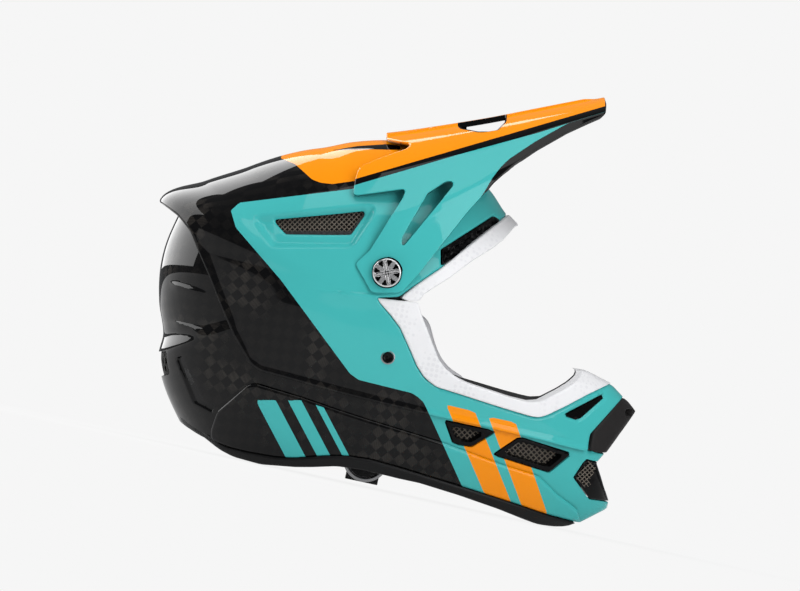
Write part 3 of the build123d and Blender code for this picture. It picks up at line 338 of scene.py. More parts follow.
class Sheet:
    """Triangles on a surface of two parameters. The distance is a function of the points."""

    def __init__(self, place, params, triangles, nudge):
        self.place, self.params, self.triangles, self.nudge = place, params, triangles, np.array(nudge)

    def values(self, distance, params=None):
        return distance(self.place(self.params if params is None else params))

    def settle(self, distance, level, who):
        """Moves a few points onto a level of the distance, if it is near in the grid too."""
        start = self.params[who].copy()
        here = start.copy()
        for _ in range(3):
            value = self.values(distance, here) - level
            slope = np.column_stack([
                (self.values(distance, here + step) - level - value) / STEP for step in np.eye(2) * STEP])
            length = np.maximum((slope**2).sum(1), 1e-9)
            here = here - slope * (value / length)[:, None]
        far = (np.abs(here - start) > self.nudge).any(1)
        self.params[who] = np.where(far[:, None], start, here)

    def split(self, distance, level=0.0, keep_inside=False):
        """Cuts triangles along a level of the distance, and may drop what lies outside."""
        value = self.values(distance) - level
        close = np.flatnonzero(np.abs(value) < SNAP)
        if len(close):
            self.settle(distance, level, close)
            value = self.values(distance) - level
        sign = np.where(np.abs(value) < ON_LINE, 0, np.sign(value)).astype(int)
        tri = self.triangles
        ends = np.vstack([tri[:, [0, 1]], tri[:, [1, 2]], tri[:, [2, 0]]])
        crossing = sign[ends[:, 0]] * sign[ends[:, 1]] < 0
        pairs = np.unique(np.sort(ends[crossing], 1), axis=0)
        a, b = pairs[:, 0], pairs[:, 1]
        low, high = np.zeros(len(a)), np.ones(len(a))
        for _ in range(HALVINGS):
            middle = (low + high) / 2
            params = self.params[a] + (self.params[b] - self.params[a]) * middle[:, None]
            same = (self.values(distance, params) - level) * value[a] > 0
            low, high = np.where(same, middle, low), np.where(same, high, middle)
        between = self.params[a] + (self.params[b] - self.params[a]) * ((low + high) / 2)[:, None]
        where = {(int(p), int(q)): len(self.params) + k for k, (p, q) in enumerate(pairs)}
        self.params = np.vstack([self.params, between])
        corner = sign[tri]
        mixed = (corner.min(1) < 0) & (corner.max(1) > 0)
        kept, sides = [tri[~mixed]], [corner[~mixed].sum(1)]
        cut, side = [], []
        for t, s in zip(tri[mixed].tolist(), corner[mixed].tolist()):
            if 0 in s:
                k = s.index(0)
                o, p, q = t[k], t[(k + 1) % 3], t[(k + 2) % 3]
                m = where[(min(p, q), max(p, q))]
                cut += [(o, p, m), (o, m, q)]
                side += [s[(k + 1) % 3], s[(k + 2) % 3]]
                continue
            k = next(i for i in range(3) if s[i] != s[(i + 1) % 3] and s[i] != s[(i + 2) % 3])
            o, p, q = t[k], t[(k + 1) % 3], t[(k + 2) % 3]
            m, n = where[(min(o, p), max(o, p))], where[(min(o, q), max(o, q))]
            cut += [(o, m, n), (m, p, q), (m, q, n)]
            side += [s[k], -s[k], -s[k]]
        if cut:
            kept.append(np.array(cut))
            sides.append(np.array(side))
        self.triangles, sides = np.vstack(kept), np.concatenate(sides)
        if keep_inside:
            level_ones = np.flatnonzero(sides == 0)
            if len(level_ones):
                middles = self.params[self.triangles[level_ones]].mean(1)
                sides[level_ones] = np.where(self.values(distance, middles) < level, -1, 1)
            self.triangles = self.triangles[sides < 0]
        self.tidy()

    def tidy(self):
        """Forgets the points that no triangle uses."""
        used, inverse = np.unique(self.triangles, return_inverse=True)
        self.params, self.triangles = self.params[used], inverse.reshape(-1, 3)


GRID_ROUND, GRID_ACROSS = 380, 150
NUDGE = 0.3


def grid_triangles(columns, rows):
    """Two triangles for each cell of a grid of points."""
    i, j = np.meshgrid(np.arange(columns), np.arange(rows), indexing="ij")
    p = (i * (rows + 1) + j).ravel()
    q = p + rows + 1
    return np.vstack([np.column_stack([p, q, q + 1]), np.column_stack([p, q + 1, p + 1])])


def grid_sheet(place, first, second, counts):
    """A sheet over a plain rectangle of two parameters."""
    us, vs = (np.linspace(*span, n + 1) for span, n in zip((first, second), counts))
    params = np.array([(u, v) for u in us for v in vs])
    return Sheet(place, params, grid_triangles(*counts), (NUDGE * (us[1] - us[0]), NUDGE * (vs[1] - vs[0])))


def hull_sheet(envelope, base=0.0):
    """A whole envelope as a sheet, with a point at each side."""
    angles = np.linspace(0.0, 2 * math.pi, GRID_ROUND + 1)
    across = np.linspace(-math.pi / 2, math.pi / 2, GRID_ACROSS + 1)[1:-1]
    params = np.array([(a, c) for a in angles for c in across])
    rows, first = len(across), len(params)
    low = np.arange(GRID_ROUND) * rows
    caps = [np.column_stack([low + rows, low, np.full(GRID_ROUND, first)]),
            np.column_stack([low + rows - 1, low + 2 * rows - 1, np.full(GRID_ROUND, first + 1)])]
    params = np.vstack([params, [(angles.mean(), -math.pi / 2), (angles.mean(), math.pi / 2)]])
    nudge = NUDGE * np.array([2 * math.pi / GRID_ROUND, math.pi / GRID_ACROSS])
    triangles = np.vstack([grid_triangles(GRID_ROUND, rows - 1)] + caps)
    return Sheet(lambda at, rise=0.0: envelope.place(at, base + rise), params, triangles, nudge)


# %% [markdown]
# A moulded wall: the sheet is cut to its outline, its edge rolls over, the inner wall and
# the rim between them close it, and named distances are stored on its points for the paint.

# %% Moulded walls
NEAR_OUTLINE = 6.0
STRAY_NORMAL = 0.4


def unit(rows):
    """Vectors at length one. Those without a length stay as they are."""
    return rows / np.maximum(np.linalg.norm(rows, axis=1), 1e-12)[:, None]


def facings(points, faces):
    """The normal of each triangle, as long as twice its area."""
    corner = points[faces]
    return np.cross(corner[:, 1] - corner[:, 0], corner[:, 2] - corner[:, 0])


def moulded(name, sheet, distance, wall, roll, material, rise=None, lines=(), paint=()):
    """A closed wall of a sheet inside an outline, with a rolled edge."""
    sheet.triangles = sheet.triangles[(sheet.values(distance)[sheet.triangles] < NEAR_OUTLINE).any(1)]
    sheet.tidy()
    sheet.split(distance, 0.0, keep_inside=True)
    for k in (1, 2, 3, 4):
        sheet.split(distance, -roll * (1 - math.cos(k * math.pi / 8)))
    for line, level in lines:
        sheet.split(line, level)

    def lifted(params):
        points = sheet.place(params)
        inside = np.clip(-distance(points), 0, roll)
        lift = np.sqrt(np.maximum(roll**2 - (roll - inside) ** 2, 0)) - roll
        if rise:
            lift = lift + rise(points)
        return sheet.place(params, lift)

    sunk = rise(sheet.place(sheet.params)) if rise else 0
    outer = lifted(sheet.params)
    along = [lifted(sheet.params + step) - lifted(sheet.params - step) for step in np.eye(2) * STEP * 10]
    normals = np.cross(along[0], along[1])
    size = np.linalg.norm(normals, axis=1)
    middle = np.array([HULL_CENTRE[0], 0, HULL_CENTRE[1]])
    flat = size < 1e-9
    normals[flat] = np.column_stack([0 * outer[flat, 0], np.sign(outer[flat, 1]), 0 * outer[flat, 0]])
    normals /= np.linalg.norm(normals, axis=1)[:, None]
    if np.median(((outer - middle) * normals).sum(1)) < 0:
        normals = -normals
    inner = sheet.place(sheet.params, np.minimum(-wall, sunk - 0.75 * wall))
    return walled(name, outer, inner, sheet.triangles, normals, material, paint)


def walled(name, outer, inner, triangles, normals, material, paint=()):
    """Closes an outer and an inner surface of the same triangles into one solid mesh."""
    facing = facings(outer, triangles)
    if (facing * normals[triangles].mean(1)).sum() < 0:
        triangles, facing = triangles[:, ::-1], -facing
    count = len(outer)
    around = unit(np.column_stack([
        np.bincount(triangles.ravel(), np.repeat(facing[:, k], 3), count) for k in range(3)]))
    stray = (around * normals).sum(1) < STRAY_NORMAL
    normals = np.where(stray[:, None], around, normals)
    edges = np.vstack([triangles[:, [0, 1]], triangles[:, [1, 2]], triangles[:, [2, 0]]])
    key = np.sort(edges, 1)
    _, index, uses = np.unique(key, axis=0, return_index=True, return_counts=True)
    a, b = edges[index[uses == 1]].T
    rim = np.vstack([np.column_stack([b, a, a + count]), np.column_stack([b, a + count, b + count])])
    points = np.vstack([outer, inner])
    faces = np.vstack([triangles, triangles[:, ::-1] + count, rim])
    loops = np.vstack([normals[triangles.ravel()], -normals[triangles[:, ::-1].ravel()],
                       np.repeat(unit(facings(points, rim)), 3, 0)])
    piece = mesh_piece(name, points, faces, material, loops)
    for title, distance in paint:
        store(piece, title, np.tile(distance(outer), 2))
    if paint:
        store(piece, "inner", np.repeat((0.0, 1.0), count))
    return piece


def store(piece, title, values):
    """A value for each point, which the finish reads."""
    piece.data.attributes.new(title, "FLOAT", "POINT").data.foreach_set("value", values.astype(np.float32))


def mesh_piece(name, points, faces, material, loop_normals=None):
    """A mesh object from worn millimetres. It sits at the origin, with its place in its mesh."""
    mesh = bpy.data.meshes.new(name)
    faces = np.asarray(faces)
    width = faces.shape[1]
    mesh.vertices.add(len(points))
    move_to(mesh, standing(points))
    mesh.loops.add(faces.size)
    mesh.loops.foreach_set("vertex_index", faces.astype(np.int32).ravel())
    mesh.polygons.add(len(faces))
    mesh.polygons.foreach_set("loop_start", np.arange(0, faces.size, width, dtype=np.int32))
    mesh.update(calc_edges=True)
    mesh.validate()
    mesh.shade_smooth()
    if loop_normals is not None and len(mesh.loops) == len(loop_normals):
        mesh.normals_split_custom_set((loop_normals @ TURN.T).astype(np.float32).tolist())
    mesh.materials.append(material)
    print(name, len(faces), "faces")
    return added(name, mesh)


def turned(name, points, rows, count, sign, material, sharp):
    """A solid of closed rings of points, one after the other, with flat ends."""
    faces = []
    for k in range(rows - 1):
        for j in range(count):
            a, b = k * count + j, k * count + (j + 1) % count
            faces += [(a, b, b + count), (a, b + count, a + count)]
    last = (rows - 1) * count
    faces += [(last, last + j, last + j + 1) for j in range(1, count - 1)]
    faces += [(0, j + 1, j) for j in range(1, count - 1)]
    faces = np.array(faces)
    piece = mesh_piece(name, points, faces[:, ::-1] if sign > 0 else faces, material)
    piece.data.set_sharp_from_angle(angle=math.radians(sharp))
    return piece


# %% [markdown]
# ## Finishes
# Node trees are written as Python expressions: a wire wraps a socket, and an operator on
# wires adds the Math node that does it. Any other node comes from one method.

# %% Wires
class Wire:
    """A socket of a node tree that can be calculated with."""

    def __init__(self, finish, socket):
        self.finish, self.socket = finish, socket

    def sum(self, operation, *others):
        return self.finish.node("ShaderNodeMath", {"operation": operation}, dict(enumerate((self,) + others)))

    def __add__(self, other):
        return self.sum("ADD", other)

    def __sub__(self, other):
        return self.sum("SUBTRACT", other)

    def __rsub__(self, other):
        return (self * -1.0).sum("ADD", other)

    def __mul__(self, other):
        return self.sum("MULTIPLY", other)

    def __truediv__(self, other):
        return self.sum("DIVIDE", other)

    __radd__, __rmul__ = __add__, __mul__

    def clipped(self):
        return self.finish.node("ShaderNodeClamp", {}, {0: self})


class Finish:
    """A material in the making."""

    def __init__(self, name, colour, roughness, **constant):
        self.material = bpy.data.materials.new(name)
        self.material.use_nodes = True
        self.tree = self.material.node_tree
        self.shader = self.tree.nodes["Principled BSDF"]
        self.shader.inputs["Base Color"].default_value = (*colour, 1)
        self.shader.inputs["Roughness"].default_value = roughness
        for title, value in constant.items():
            self.shader.inputs[title.replace("_", " ")].default_value = value

    def node(self, kind, settings, sockets, output=0):
        made = self.tree.nodes.new(kind)
        for title, value in settings.items():
            setattr(made, title, value)
        for title, value in sockets.items():
            self.feed(made.inputs[title], value)
        return Wire(self, made.outputs[output])

    def feed(self, socket, value):
        if isinstance(value, Wire):
            self.tree.links.new(value.socket, socket)
        else:
            socket.default_value = value

    def set(self, title, value):
        self.feed(self.shader.inputs[title], value)

    def blend(self, share, low, high):
        """A colour between two colours."""
        low, high = [v if isinstance(v, Wire) else (*v, 1) for v in (low, high)]
        return self.node("ShaderNodeMix", {"data_type": "RGBA"}, {"Factor": share, 6: low, 7: high}, 2)

    def stored(self, title):
        """A distance that the piece carries."""
        return self.node("ShaderNodeAttribute", {"attribute_name": title}, {}, "Fac")

    def inside(self, title, softness=0.25):
        """One where a stored distance is below zero."""
        return (0.5 - self.stored(title) / softness).clipped()

    def place(self):
        return self.node("ShaderNodeTexCoord", {}, {}, "Object")

    def split(self, vector):
        made = self.node("ShaderNodeSeparateXYZ", {}, {0: vector})
        return [Wire(self, s) for s in made.socket.node.outputs]

    def axes(self):
        """The three coordinates of a spot, in metres."""
        return self.split(self.place())

    def noise(self, scale, detail=3.0):
        return self.node("ShaderNodeTexNoise", {}, {
            "Vector": self.place(), "Scale": scale, "Detail": detail, "Roughness": 0.55})

    def cells(self, scale, randomness=1.0):
        return self.node("ShaderNodeTexVoronoi", {}, {
            "Vector": self.place(), "Scale": scale, "Randomness": randomness}, "Distance")

    def bump(self, height, strength=0.3, distance=0.0005):
        self.set("Normal", self.node("ShaderNodeBump", {}, {
            "Strength": strength, "Distance": distance, "Height": height}))


def linear(red, green, blue):
    """A screen colour from 0 to 255 as a shader colour."""
    return tuple((v / 255 / 12.92) if v / 255 <= 0.04045 else ((v / 255 + 0.055) / 1.055) ** 2.4
                 for v in (red, green, blue))


TEAL = linear(70, 184, 183)
ORANGE = linear(255, 150, 12)
BLACK = linear(8, 8, 9)
WEAVE_LIGHT = linear(46, 43, 40)
WHITE = linear(238, 238, 240)

# %% [markdown]
# The shell is carbon cloth under a clear coat, with paint over its front. The cloth shows
# as checks of threads that lie crosswise, seen from the side on the flanks and from behind
# on the back. Teal, orange and the stripes are where the stored distances are below zero.
# The black of the dark layer, in the rear grooves and on the crown under the visor's rear end, is painted shade.

# %% Carbon and paint
CHECK = 0.0066
CLOTH_SLANT = math.radians(38)
COAT = {"Coat_IOR": 1.42, "Specular_IOR_Level": 0.0}


def carbon_share(finish):
    """Checks of crossed threads: 1 on one thread direction, 0 on the other."""
    x, y, z = finish.axes()
    along = x * math.cos(LEAN) + z * math.sin(LEAN)
    up = z * math.cos(LEAN) - x * math.sin(LEAN)
    checks = []
    for flat in (along, y):
        u = (flat * math.cos(CLOTH_SLANT) + up * math.sin(CLOTH_SLANT)) / CHECK
        v = (up * math.cos(CLOTH_SLANT) - flat * math.sin(CLOTH_SLANT)) / CHECK
        waves = (u * math.pi).sum("SINE") * (v * math.pi).sum("SINE")
        checks.append((waves * 7 + 0.4).clipped())
    normal = finish.node("ShaderNodeNewGeometry", {}, {}, "Normal")
    across = finish.split(normal)[1].sum("ABSOLUTE")
    side = ((across - 0.55) * 8).clipped()
    return checks[0] * side + checks[1] * (1 - side)


def carbon_cloth(finish):
    """Cloth that shows in patches, with its threads as a fine ripple in the tone."""
    x, y, z = finish.axes()
    threads = ((x * 0.8 + y + z * 0.6) * 4200).sum("SINE") * 0.18 + 0.82
    patches = ((finish.noise(24.0, 2.0) - 0.48) * 6).clipped() * 0.85 + 0.12
    return finish.blend(carbon_share(finish) * threads * patches, BLACK, WEAVE_LIGHT)


def lacquered(finish, colour, layers):
    """Layers of paint, each where its stored distance is below zero, under a clear coat."""
    for title, tone in layers:
        colour = finish.blend(finish.inside(title), colour, tone)
    finish.set("Base Color", finish.blend(finish.stored("inner").clipped(), colour, BLACK))
    finish.set("Coat Weight", 0.5 + finish.noise(30.0, 1.0) * 0.05)
    finish.bump(finish.noise(60.0, 1.0), 0.03, 0.0004)
    return finish.material


carbon = Finish("carbon_and_paint", BLACK, 0.28, Coat_Roughness=0.03, **COAT)
# The last layer, dark, is painted shade in the rear grooves and under the visor's rear end.
painted = lacquered(carbon, carbon_cloth(carbon), (
    ("teal", TEAL), ("bars", TEAL), ("crown", ORANGE), ("stripes", ORANGE), ("dark", BLACK)))
visor_paint = lacquered(Finish("visor_paint", TEAL, 0.3, Coat_Roughness=0.04, **COAT), TEAL, (
    ("band", BLACK), ("top", ORANGE), ("lip", BLACK)))

# %% [markdown]
# The plainer finishes: white and black rubber edging, gloss and satin mouldings, machined
# and plain metal, coated wire, bead foam, brushed knit and webbing. Each has its own grain.

# %% Plain finishes
def grained(name, colour, roughness, scale, strength, spread=0.08, **constant):
    """A finish with a fine grain in its height, its tone and its shine."""
    finish = Finish(name, colour, roughness, **constant)
    grain = finish.noise(scale)
    darker = tuple(v * (1 - spread) for v in colour)
    finish.set("Base Color", finish.blend(grain, darker, colour))
    finish.set("Roughness", roughness + (grain - 0.5) * 0.12)
    finish.bump(grain, strength)
    return finish.material


black_rubber = grained("black_edging", linear(15, 15, 16), 0.45, 1200.0, 0.2, Specular_IOR_Level=0.2)
gloss_black = grained("gloss_moulding", linear(8, 8, 9), 0.14, 700.0, 0.03, Specular_IOR_Level=0.12)
guard_grey = grained("satin_guard", linear(38, 36, 36), 0.55, 1400.0, 0.35, Specular_IOR_Level=0.15)
steel = grained("plain_steel", linear(150, 150, 152), 0.35, 800.0, 0.1, Metallic=1.0)
wire_black = grained("coated_wire", linear(118, 110, 100), 0.4, 900.0, 0.1, Metallic=0.5)


def edging_finish():
    """White rubber with rows of small raised triangles, as a grip pattern fading in and out."""
    finish = Finish("white_edging", WHITE, 0.42, Specular_IOR_Level=0.3)
    fading = ((finish.noise(22.0, 1.0) - 0.46) * 9).clipped()
    marks = ((0.42 - finish.cells(260.0, 0.25)) * 9).clipped() * fading
    finish.set("Base Color", finish.blend(marks * 0.4, WHITE, linear(216, 216, 220)))
    finish.bump(marks, 0.2, 0.0004)
    return finish.material


def machined_finish():
    """Turned aluminium: fine rings round the axis, and painted shade in the pockets and grooves, as much as the
    piece stores.
    """
    bright = linear(215, 215, 216)
    finish = Finish("machined_aluminium", bright, 0.26, Metallic=1.0)
    x, _, z = finish.axes()
    dx, dz = x - PIVOT[0], z - PIVOT[2]
    rings = ((dx * dx + dz * dz).sum("SQRT") * 26000).sum("SINE")
    # The stored pocket value paints shade into the milled pockets and grooves.
    finish.set("Base Color", finish.blend(finish.stored("pocket").clipped(), bright, linear(24, 24, 25)))
    finish.set("Roughness", 0.26 + rings * 0.03)
    finish.bump(rings * 0.3, 0.1, 0.00005)
    return finish.material


white_rubber, machined = edging_finish(), machined_finish()


def foam_finish():
    """Expanded beads: round cells pressed together, a little lighter at their middles."""
    finish = Finish("bead_foam", linear(30, 30, 31), 0.7)
    cells = finish.cells(380.0)
    finish.set("Base Color", finish.blend((cells * 1.4).clipped(), linear(44, 44, 45), linear(20, 20, 21)))
    finish.bump(1 - cells, 0.6, 0.0008)
    return finish.material


def knit_finish(name, colour):
    """Brushed knit over open foam: fine loops and a soft nap."""
    finish = Finish(name, colour, 0.9, Sheen_Weight=0.4, Sheen_Roughness=0.5)
    x, y, z = finish.axes()
    loops = (x * 2300 + y * 1100).sum("SINE") * (z * 2300 - y * 1100).sum("SINE")
    nap = finish.noise(300.0)
    darker = tuple(v * 0.74 for v in colour)
    finish.set("Base Color", finish.blend((loops * 0.22 + nap).clipped(), darker, colour))
    finish.bump(loops * 0.3 + nap, 0.4, 0.0006)
    return finish.material


def webbing_finish():
    """Woven strap: ribs across its length with a twill slant."""
    finish = Finish("strap_webbing", linear(26, 26, 27), 0.75, Sheen_Weight=0.2)
    x, y, z = finish.axes()
    twill = ((x + z * 0.6 + y * 0.6) * 3600).sum("SINE")
    share = (twill * 0.5 + 0.5).clipped()
    finish.set("Base Color", finish.blend(share, linear(16, 16, 17), linear(40, 40, 42)))
    finish.bump(twill, 0.5, 0.0004)
    return finish.material


bead_foam = foam_finish()
knit = knit_finish("brushed_knit", linear(208, 208, 212))
net_black = grained("coated_frame", linear(18, 17, 16), 0.6, 900.0, 0.2, Specular_IOR_Level=0.05)
knit_dark = knit_finish("dark_knit", linear(48, 48, 50))
webbing = webbing_finish()
print("finishes", len(bpy.data.materials))

# %% [markdown]
# ## Lines of the shell
# The hood ends at an upper crease, the skirt starts at a lower one, and the recessed
# body shows between them. Openings and paint lines follow.

# %% Shell lines
upper_crease = [
    (0.4274, -0.4599), (0.3818, -0.4476), (0.3156, -0.4264), (0.1916, -0.3904), (0.0880, -0.3630),
    (-0.0156, -0.3332), (-0.1056, -0.3055), (-0.2137, -0.2682), (-0.2654, -0.2514), (-0.2877, -0.2312),
    (-0.3221, -0.1558), (-0.3508, -0.0719), (-0.3715, -0.0068), (-0.3939, 0.0565), (-0.4106, 0.1062),
    (-0.4413, 0.1483)]
hood_closing = [(-0.4804, 0.1849), (-0.56, 0.2055), (-0.56, 0.6849), (0.6983, 0.6849), (0.6983, -0.4599)]
lower_crease = [
    (-0.3584, -0.3572), (-0.2919, -0.2870), (-0.2737, -0.2849), (-0.1777, -0.3195), (-0.0986, -0.3527),
    (-0.0335, -0.3784), (0.0257, -0.4007), (0.1170, -0.4349), (0.2327, -0.4880), (0.3207, -0.5223),
    (0.3592, -0.5695), (0.4022, -0.6089)]
skirt_closing = [(0.4469, -0.8904), (-0.3911, -0.8904), (-0.3715, -0.4041)]
rim = [
    (-0.4469, -0.3699), (-0.4249, -0.3925), (-0.3939, -0.4168), (-0.3366, -0.4500), (-0.2933, -0.4623),
    (-0.2318, -0.4753), (-0.1922, -0.4767), (-0.1307, -0.4709), (-0.0838, -0.4709), (-0.0335, -0.4801),
    (0.0274, -0.5010), (0.1584, -0.5503), (0.2578, -0.5894), (0.3366, -0.6226), (0.3986, -0.6428)]
rim_closing = [(0.6983, -0.6428), (0.6983, -1.0274), (-0.6145, -1.0274), (-0.6145, -0.3699)]
rim_edge = [
    (-0.4385, -0.3973), (-0.4159, -0.4147), (-0.3221, -0.4743), (-0.2642, -0.4935), (-0.1922, -0.5000),
    (-0.1561, -0.5000), (-0.1056, -0.4976), (-0.0514, -0.5062), (0.0274, -0.5301), (0.0673, -0.5404),
    (0.1500, -0.5719), (0.2330, -0.6075), (0.2869, -0.6342), (0.3156, -0.6473), (0.3489, -0.6531),
    (0.3760, -0.6531), (0.3980, -0.6440)]
brow_inner = [
    (0.2723, 0.1226), (0.2453, 0.0846), (0.2246, 0.0644), (0.1832, 0.0336), (0.1335, -0.0120),
    (0.1003, -0.0377), (0.0796, -0.0541), (0.0693, -0.0660)]
cheek_inner = [
    (0.0673, -0.0760), (0.0676, -0.0842), (0.0754, -0.1147), (0.0838, -0.1404), (0.0961, -0.1808),
    (0.1087, -0.2216), (0.1254, -0.2486), (0.1500, -0.2705), (0.1749, -0.2849), (0.2123, -0.3000),
    (0.2620, -0.3202), (0.2992, -0.3315), (0.3207, -0.3301), (0.3433, -0.3161), (0.3659, -0.3021),
    (0.3885, -0.2853), (0.4045, -0.2688), (0.4126, -0.2493)]
brow_edge = [
    (0.2556, 0.1524), (0.2391, 0.1353), (0.1760, 0.0736), (0.1128, 0.0110), (0.0631, -0.0298),
    (0.0257, -0.0623)]
cheek_edge = [
    (-0.0196, -0.0640), (-0.0156, -0.0743), (0.0092, -0.1096), (0.0279, -0.1404), (0.0466, -0.1908),
    (0.0631, -0.2384), (0.0796, -0.2705), (0.1034, -0.2925), (0.1500, -0.3103), (0.2330, -0.3432),
    (0.2743, -0.3586), (0.3017, -0.3685), (0.3184, -0.3712), (0.3338, -0.3661), (0.3737, -0.3432),
    (0.4190, -0.3137), (0.4690, -0.2849)]
side_vent = [(-0.2430, 0.1418), (-0.0405, 0.1661), (-0.0749, 0.1065), (-0.2176, 0.1065)]
rear_chin_vent = [(0.1205, -0.3764), (0.2290, -0.4055), (0.1771, -0.4449), (0.1380, -0.4373)]
front_chin_vent = [(0.2763, -0.4195), (0.3870, -0.4627), (0.3390, -0.5110), (0.2205, -0.4651)]
cheek_slot = [
    (0.4545, -0.3110), (0.4580, -0.3190), (0.4078, -0.3726), (0.3980, -0.3781), (0.3743, -0.3685),
    (0.3726, -0.3630)]
brow_vent = [
    (0.1145, 0.0180), (0.1145, 0.0600), (0.2250, 0.1470), (0.2370, 0.1360), (0.2330, 0.1190),
    (0.1950, 0.0800), (0.1530, 0.0460)]
guard = [(0.4966, -0.3205), (0.5400, -0.3545), (0.4700, -0.4620), (0.4460, -0.4620), (0.4028, -0.4476)]
intake = [(0.4154, -0.4777), (0.4600, -0.4914), (0.4800, -0.5894), (0.4235, -0.5795), (0.3902, -0.5236)]
rear_port = [(-0.52, -0.2055), (-0.4497, -0.2021), (-0.4399, -0.2260), (-0.4581, -0.2603), (-0.52, -0.2740)]
GUARD_HALF, INTAKE_HALF, PORT_HALF = 0.62 * HOOD_HALF, 0.62 * HOOD_HALF, 0.36 * HOOD_HALF
MOUTH_HALF = 0.44 * HOOD_HALF

hood_region = rounded(placed(upper_crease + hood_closing), 12)
skirt_region = rounded(placed(lower_crease + skirt_closing), 8)
rim_region = rounded(placed(rim + rim_closing), 40)
eye_region = rounded(placed(brow_edge + cheek_edge + [(0.6983, -0.2849), (0.6983, 0.1524)]), 6)
guard_region, intake_region, port_region = (Outline(placed(line)) for line in (guard, intake, rear_port))
slot_region = rounded(placed(cheek_slot), 1.5)
vent_region = rounded(placed(side_vent), 1.8)
brow_region = rounded(placed(brow_vent), 1.2)
front_vent_region = rounded(placed(front_chin_vent), 1.2)
rear_vent_region = rounded(placed(rear_chin_vent), 1.2)
vent_dish = rounded([(-106, 43.5), (-1, 54), (-24.3, 17.5), (-88, 17.5)], 9)


def inside_block(points, outline, half):
    """Distance to a block that runs across the helmet to a half width."""
    return np.maximum(outline(points), np.abs(points[:, 1]) - half)


# %% Paint lines
teal_region = Outline([
    (-110.1, 52.4), (-116.6, 46.6), (-112.7, 33.7), (-79.1, -5.3), (-27.5, -75.2), (-21, -79.8), (9.8, -87.5),
    (19.7, -89.9), (26.3, -95), (28.5, -98.8), (56.7, -160.7), (56, -260), (300, -260), (300, 140), (60, 140),
    (40, 66), (-25.5, 62.7)])
crown_region = Outline([
    (-79.7, 86), (-68.8, 81.5), (-55.9, 69.8), (-49.4, 67.3), (-40.4, 66.4), (-24.8, 68.6), (40, 74),
    (60, 74), (80, 130), (-60, 130)])
stripe_one = Outline([(44.1, -98.3), (65.6, -103.5), (93, -172.1), (73, -165.5)])
stripe_two = Outline([(75.7, -107.3), (96, -111.7), (120.5, -181.8), (100.9, -174.7)])
bar_shapes = [Outline([(x, -95), (x + w, -95), (x + w + 42, -175), (x + 42, -175)])
              for x, w in ((-98, 15), (-74, 10), (-55, 5))]
# A sunk groove on each rear corner; the dark layer paints shade into it.
groove = rounded([
    (-159.1, -63.5), (-145.1, -98), (-130, -105.9), (-128.6, -98), (-137.2, -96.2), (-153.7, -61.4)], 2)
# A strip on the crown under and behind the visor's rear end, painted black as the shade of the gap beneath the
# visor.
crown_shade_strip = Outline([(-44, 91.5), (-22, 95), (1, 96.5), (10, 95), (10, 92), (-14, 92.5)])


def whichever(outlines):
    """Distance to the nearest of several outlines."""
    return lambda points: np.min([outline(points) for outline in outlines], axis=0)


shell_paint = [
    ("teal", teal_region),
    ("crown", crown_region),
    ("stripes", whichever([stripe_one, stripe_two])),
    ("bars", lambda p: np.maximum(whichever(bar_shapes)(p), skirt_region(p) + 1.5)),
    # The dark layer: painted shade in the rear grooves and in the gap under the visor's rear end.
    ("dark", whichever([groove, crown_shade_strip])),
]
print("paint layers", len(shell_paint))

# %% [markdown]
# ## The three layers of the shell
# The hood carries a dished vent on each side. Around the vent the wall sinks and comes
# back, as a rise that depends on the distance to the dish.

# %% Shell
WALL, OVERLAP = 2.2, 12.0
SKIRT_RISE = 3.0
DISH_DEPTH, DISH_EASE = 5.0, 7.0
FLARE, SWAGE_HEIGHT, GROOVE_DEPTH, RIB_HEIGHT = 2.0, 1.3, 2.4, 1.0
FAR = 50.0
guard_block, intake_block = (guard_region, GUARD_HALF), (intake_region, INTAKE_HALF)
port_block = (port_region, PORT_HALF)
upper_openings = (eye_region, vent_region, brow_region, slot_region, rim_region)
lower_openings = (eye_region, front_vent_region, rear_vent_region, rim_region)


def left_over(p, limits, openings, blocks):
    """Distance inside some limits, with openings and blocks taken away."""
    gone = [outline(p) for outline in openings] + [inside_block(p, *block) for block in blocks]
    return np.max(limits + [-d for d in gone], axis=0)


def hood_distance(p):
    return left_over(p, [hood_region(p)], upper_openings, [guard_block])


def body_distance(p):
    covered = [-hood_region(p) - OVERLAP, -skirt_region(p) - OVERLAP]
    return left_over(p, covered, lower_openings, [guard_block, intake_block, port_block])


def skirt_distance(p):
    return left_over(p, [skirt_region(p)], lower_openings, [guard_block, intake_block])


swage_line = ((-58.0, -12.5), (-4.0, -17.6))


def hood_rise(p):
    """The dish round the vent, a flare towards the crease and the ridge over the edging."""
    dish = -DISH_DEPTH * smooth_step(-vent_dish(p) / DISH_EASE)
    flare = FLARE * np.clip((hood_region(p) + 7) / 7, 0, 1) ** 2 * smooth_step((44 - p[:, 2]) / 16)
    return dish + flare + swage_rise(p)


def swage_over(p):
    """Height over the swage line, and far off it beyond its ends."""
    (ax, az), (bx, bz) = swage_line
    dx, dz = bx - ax, bz - az
    over = ((p[:, 2] - az) * dx - (p[:, 0] - ax) * dz) / math.hypot(dx, dz)
    beyond = (p[:, 0] < ax) | (p[:, 0] > bx + 14)
    return np.where(beyond, FAR, over)


def swage_rise(p):
    """A soft ridge that runs forward to the seam of the edging."""
    (ax, _), (bx, _) = swage_line
    t = (p[:, 0] - ax) / (bx - ax)
    over = swage_over(p)
    sharp = np.where(over > 0, np.exp(-(over / 1.2) ** 2), np.exp(-(over / 6.0) ** 2))
    return SWAGE_HEIGHT * sharp * smooth_step(t * 1.6) * smooth_step((1.25 - t) * 4)


rib_lines = [((-163.7, -7.5), (-130.7, -17.1)), ((-163.1, -35.9), (-128.9, -45.5))]


def over_line(p, line):
    """Share along a line of the side view, and height over it, far off beyond its ends."""
    (ax, az), (bx, bz) = line
    t = (p[:, 0] - ax) / (bx - ax)
    over = p[:, 2] - az - t * (bz - az)
    return t, np.where((t < -0.1) | (t > 1.1), FAR, over)


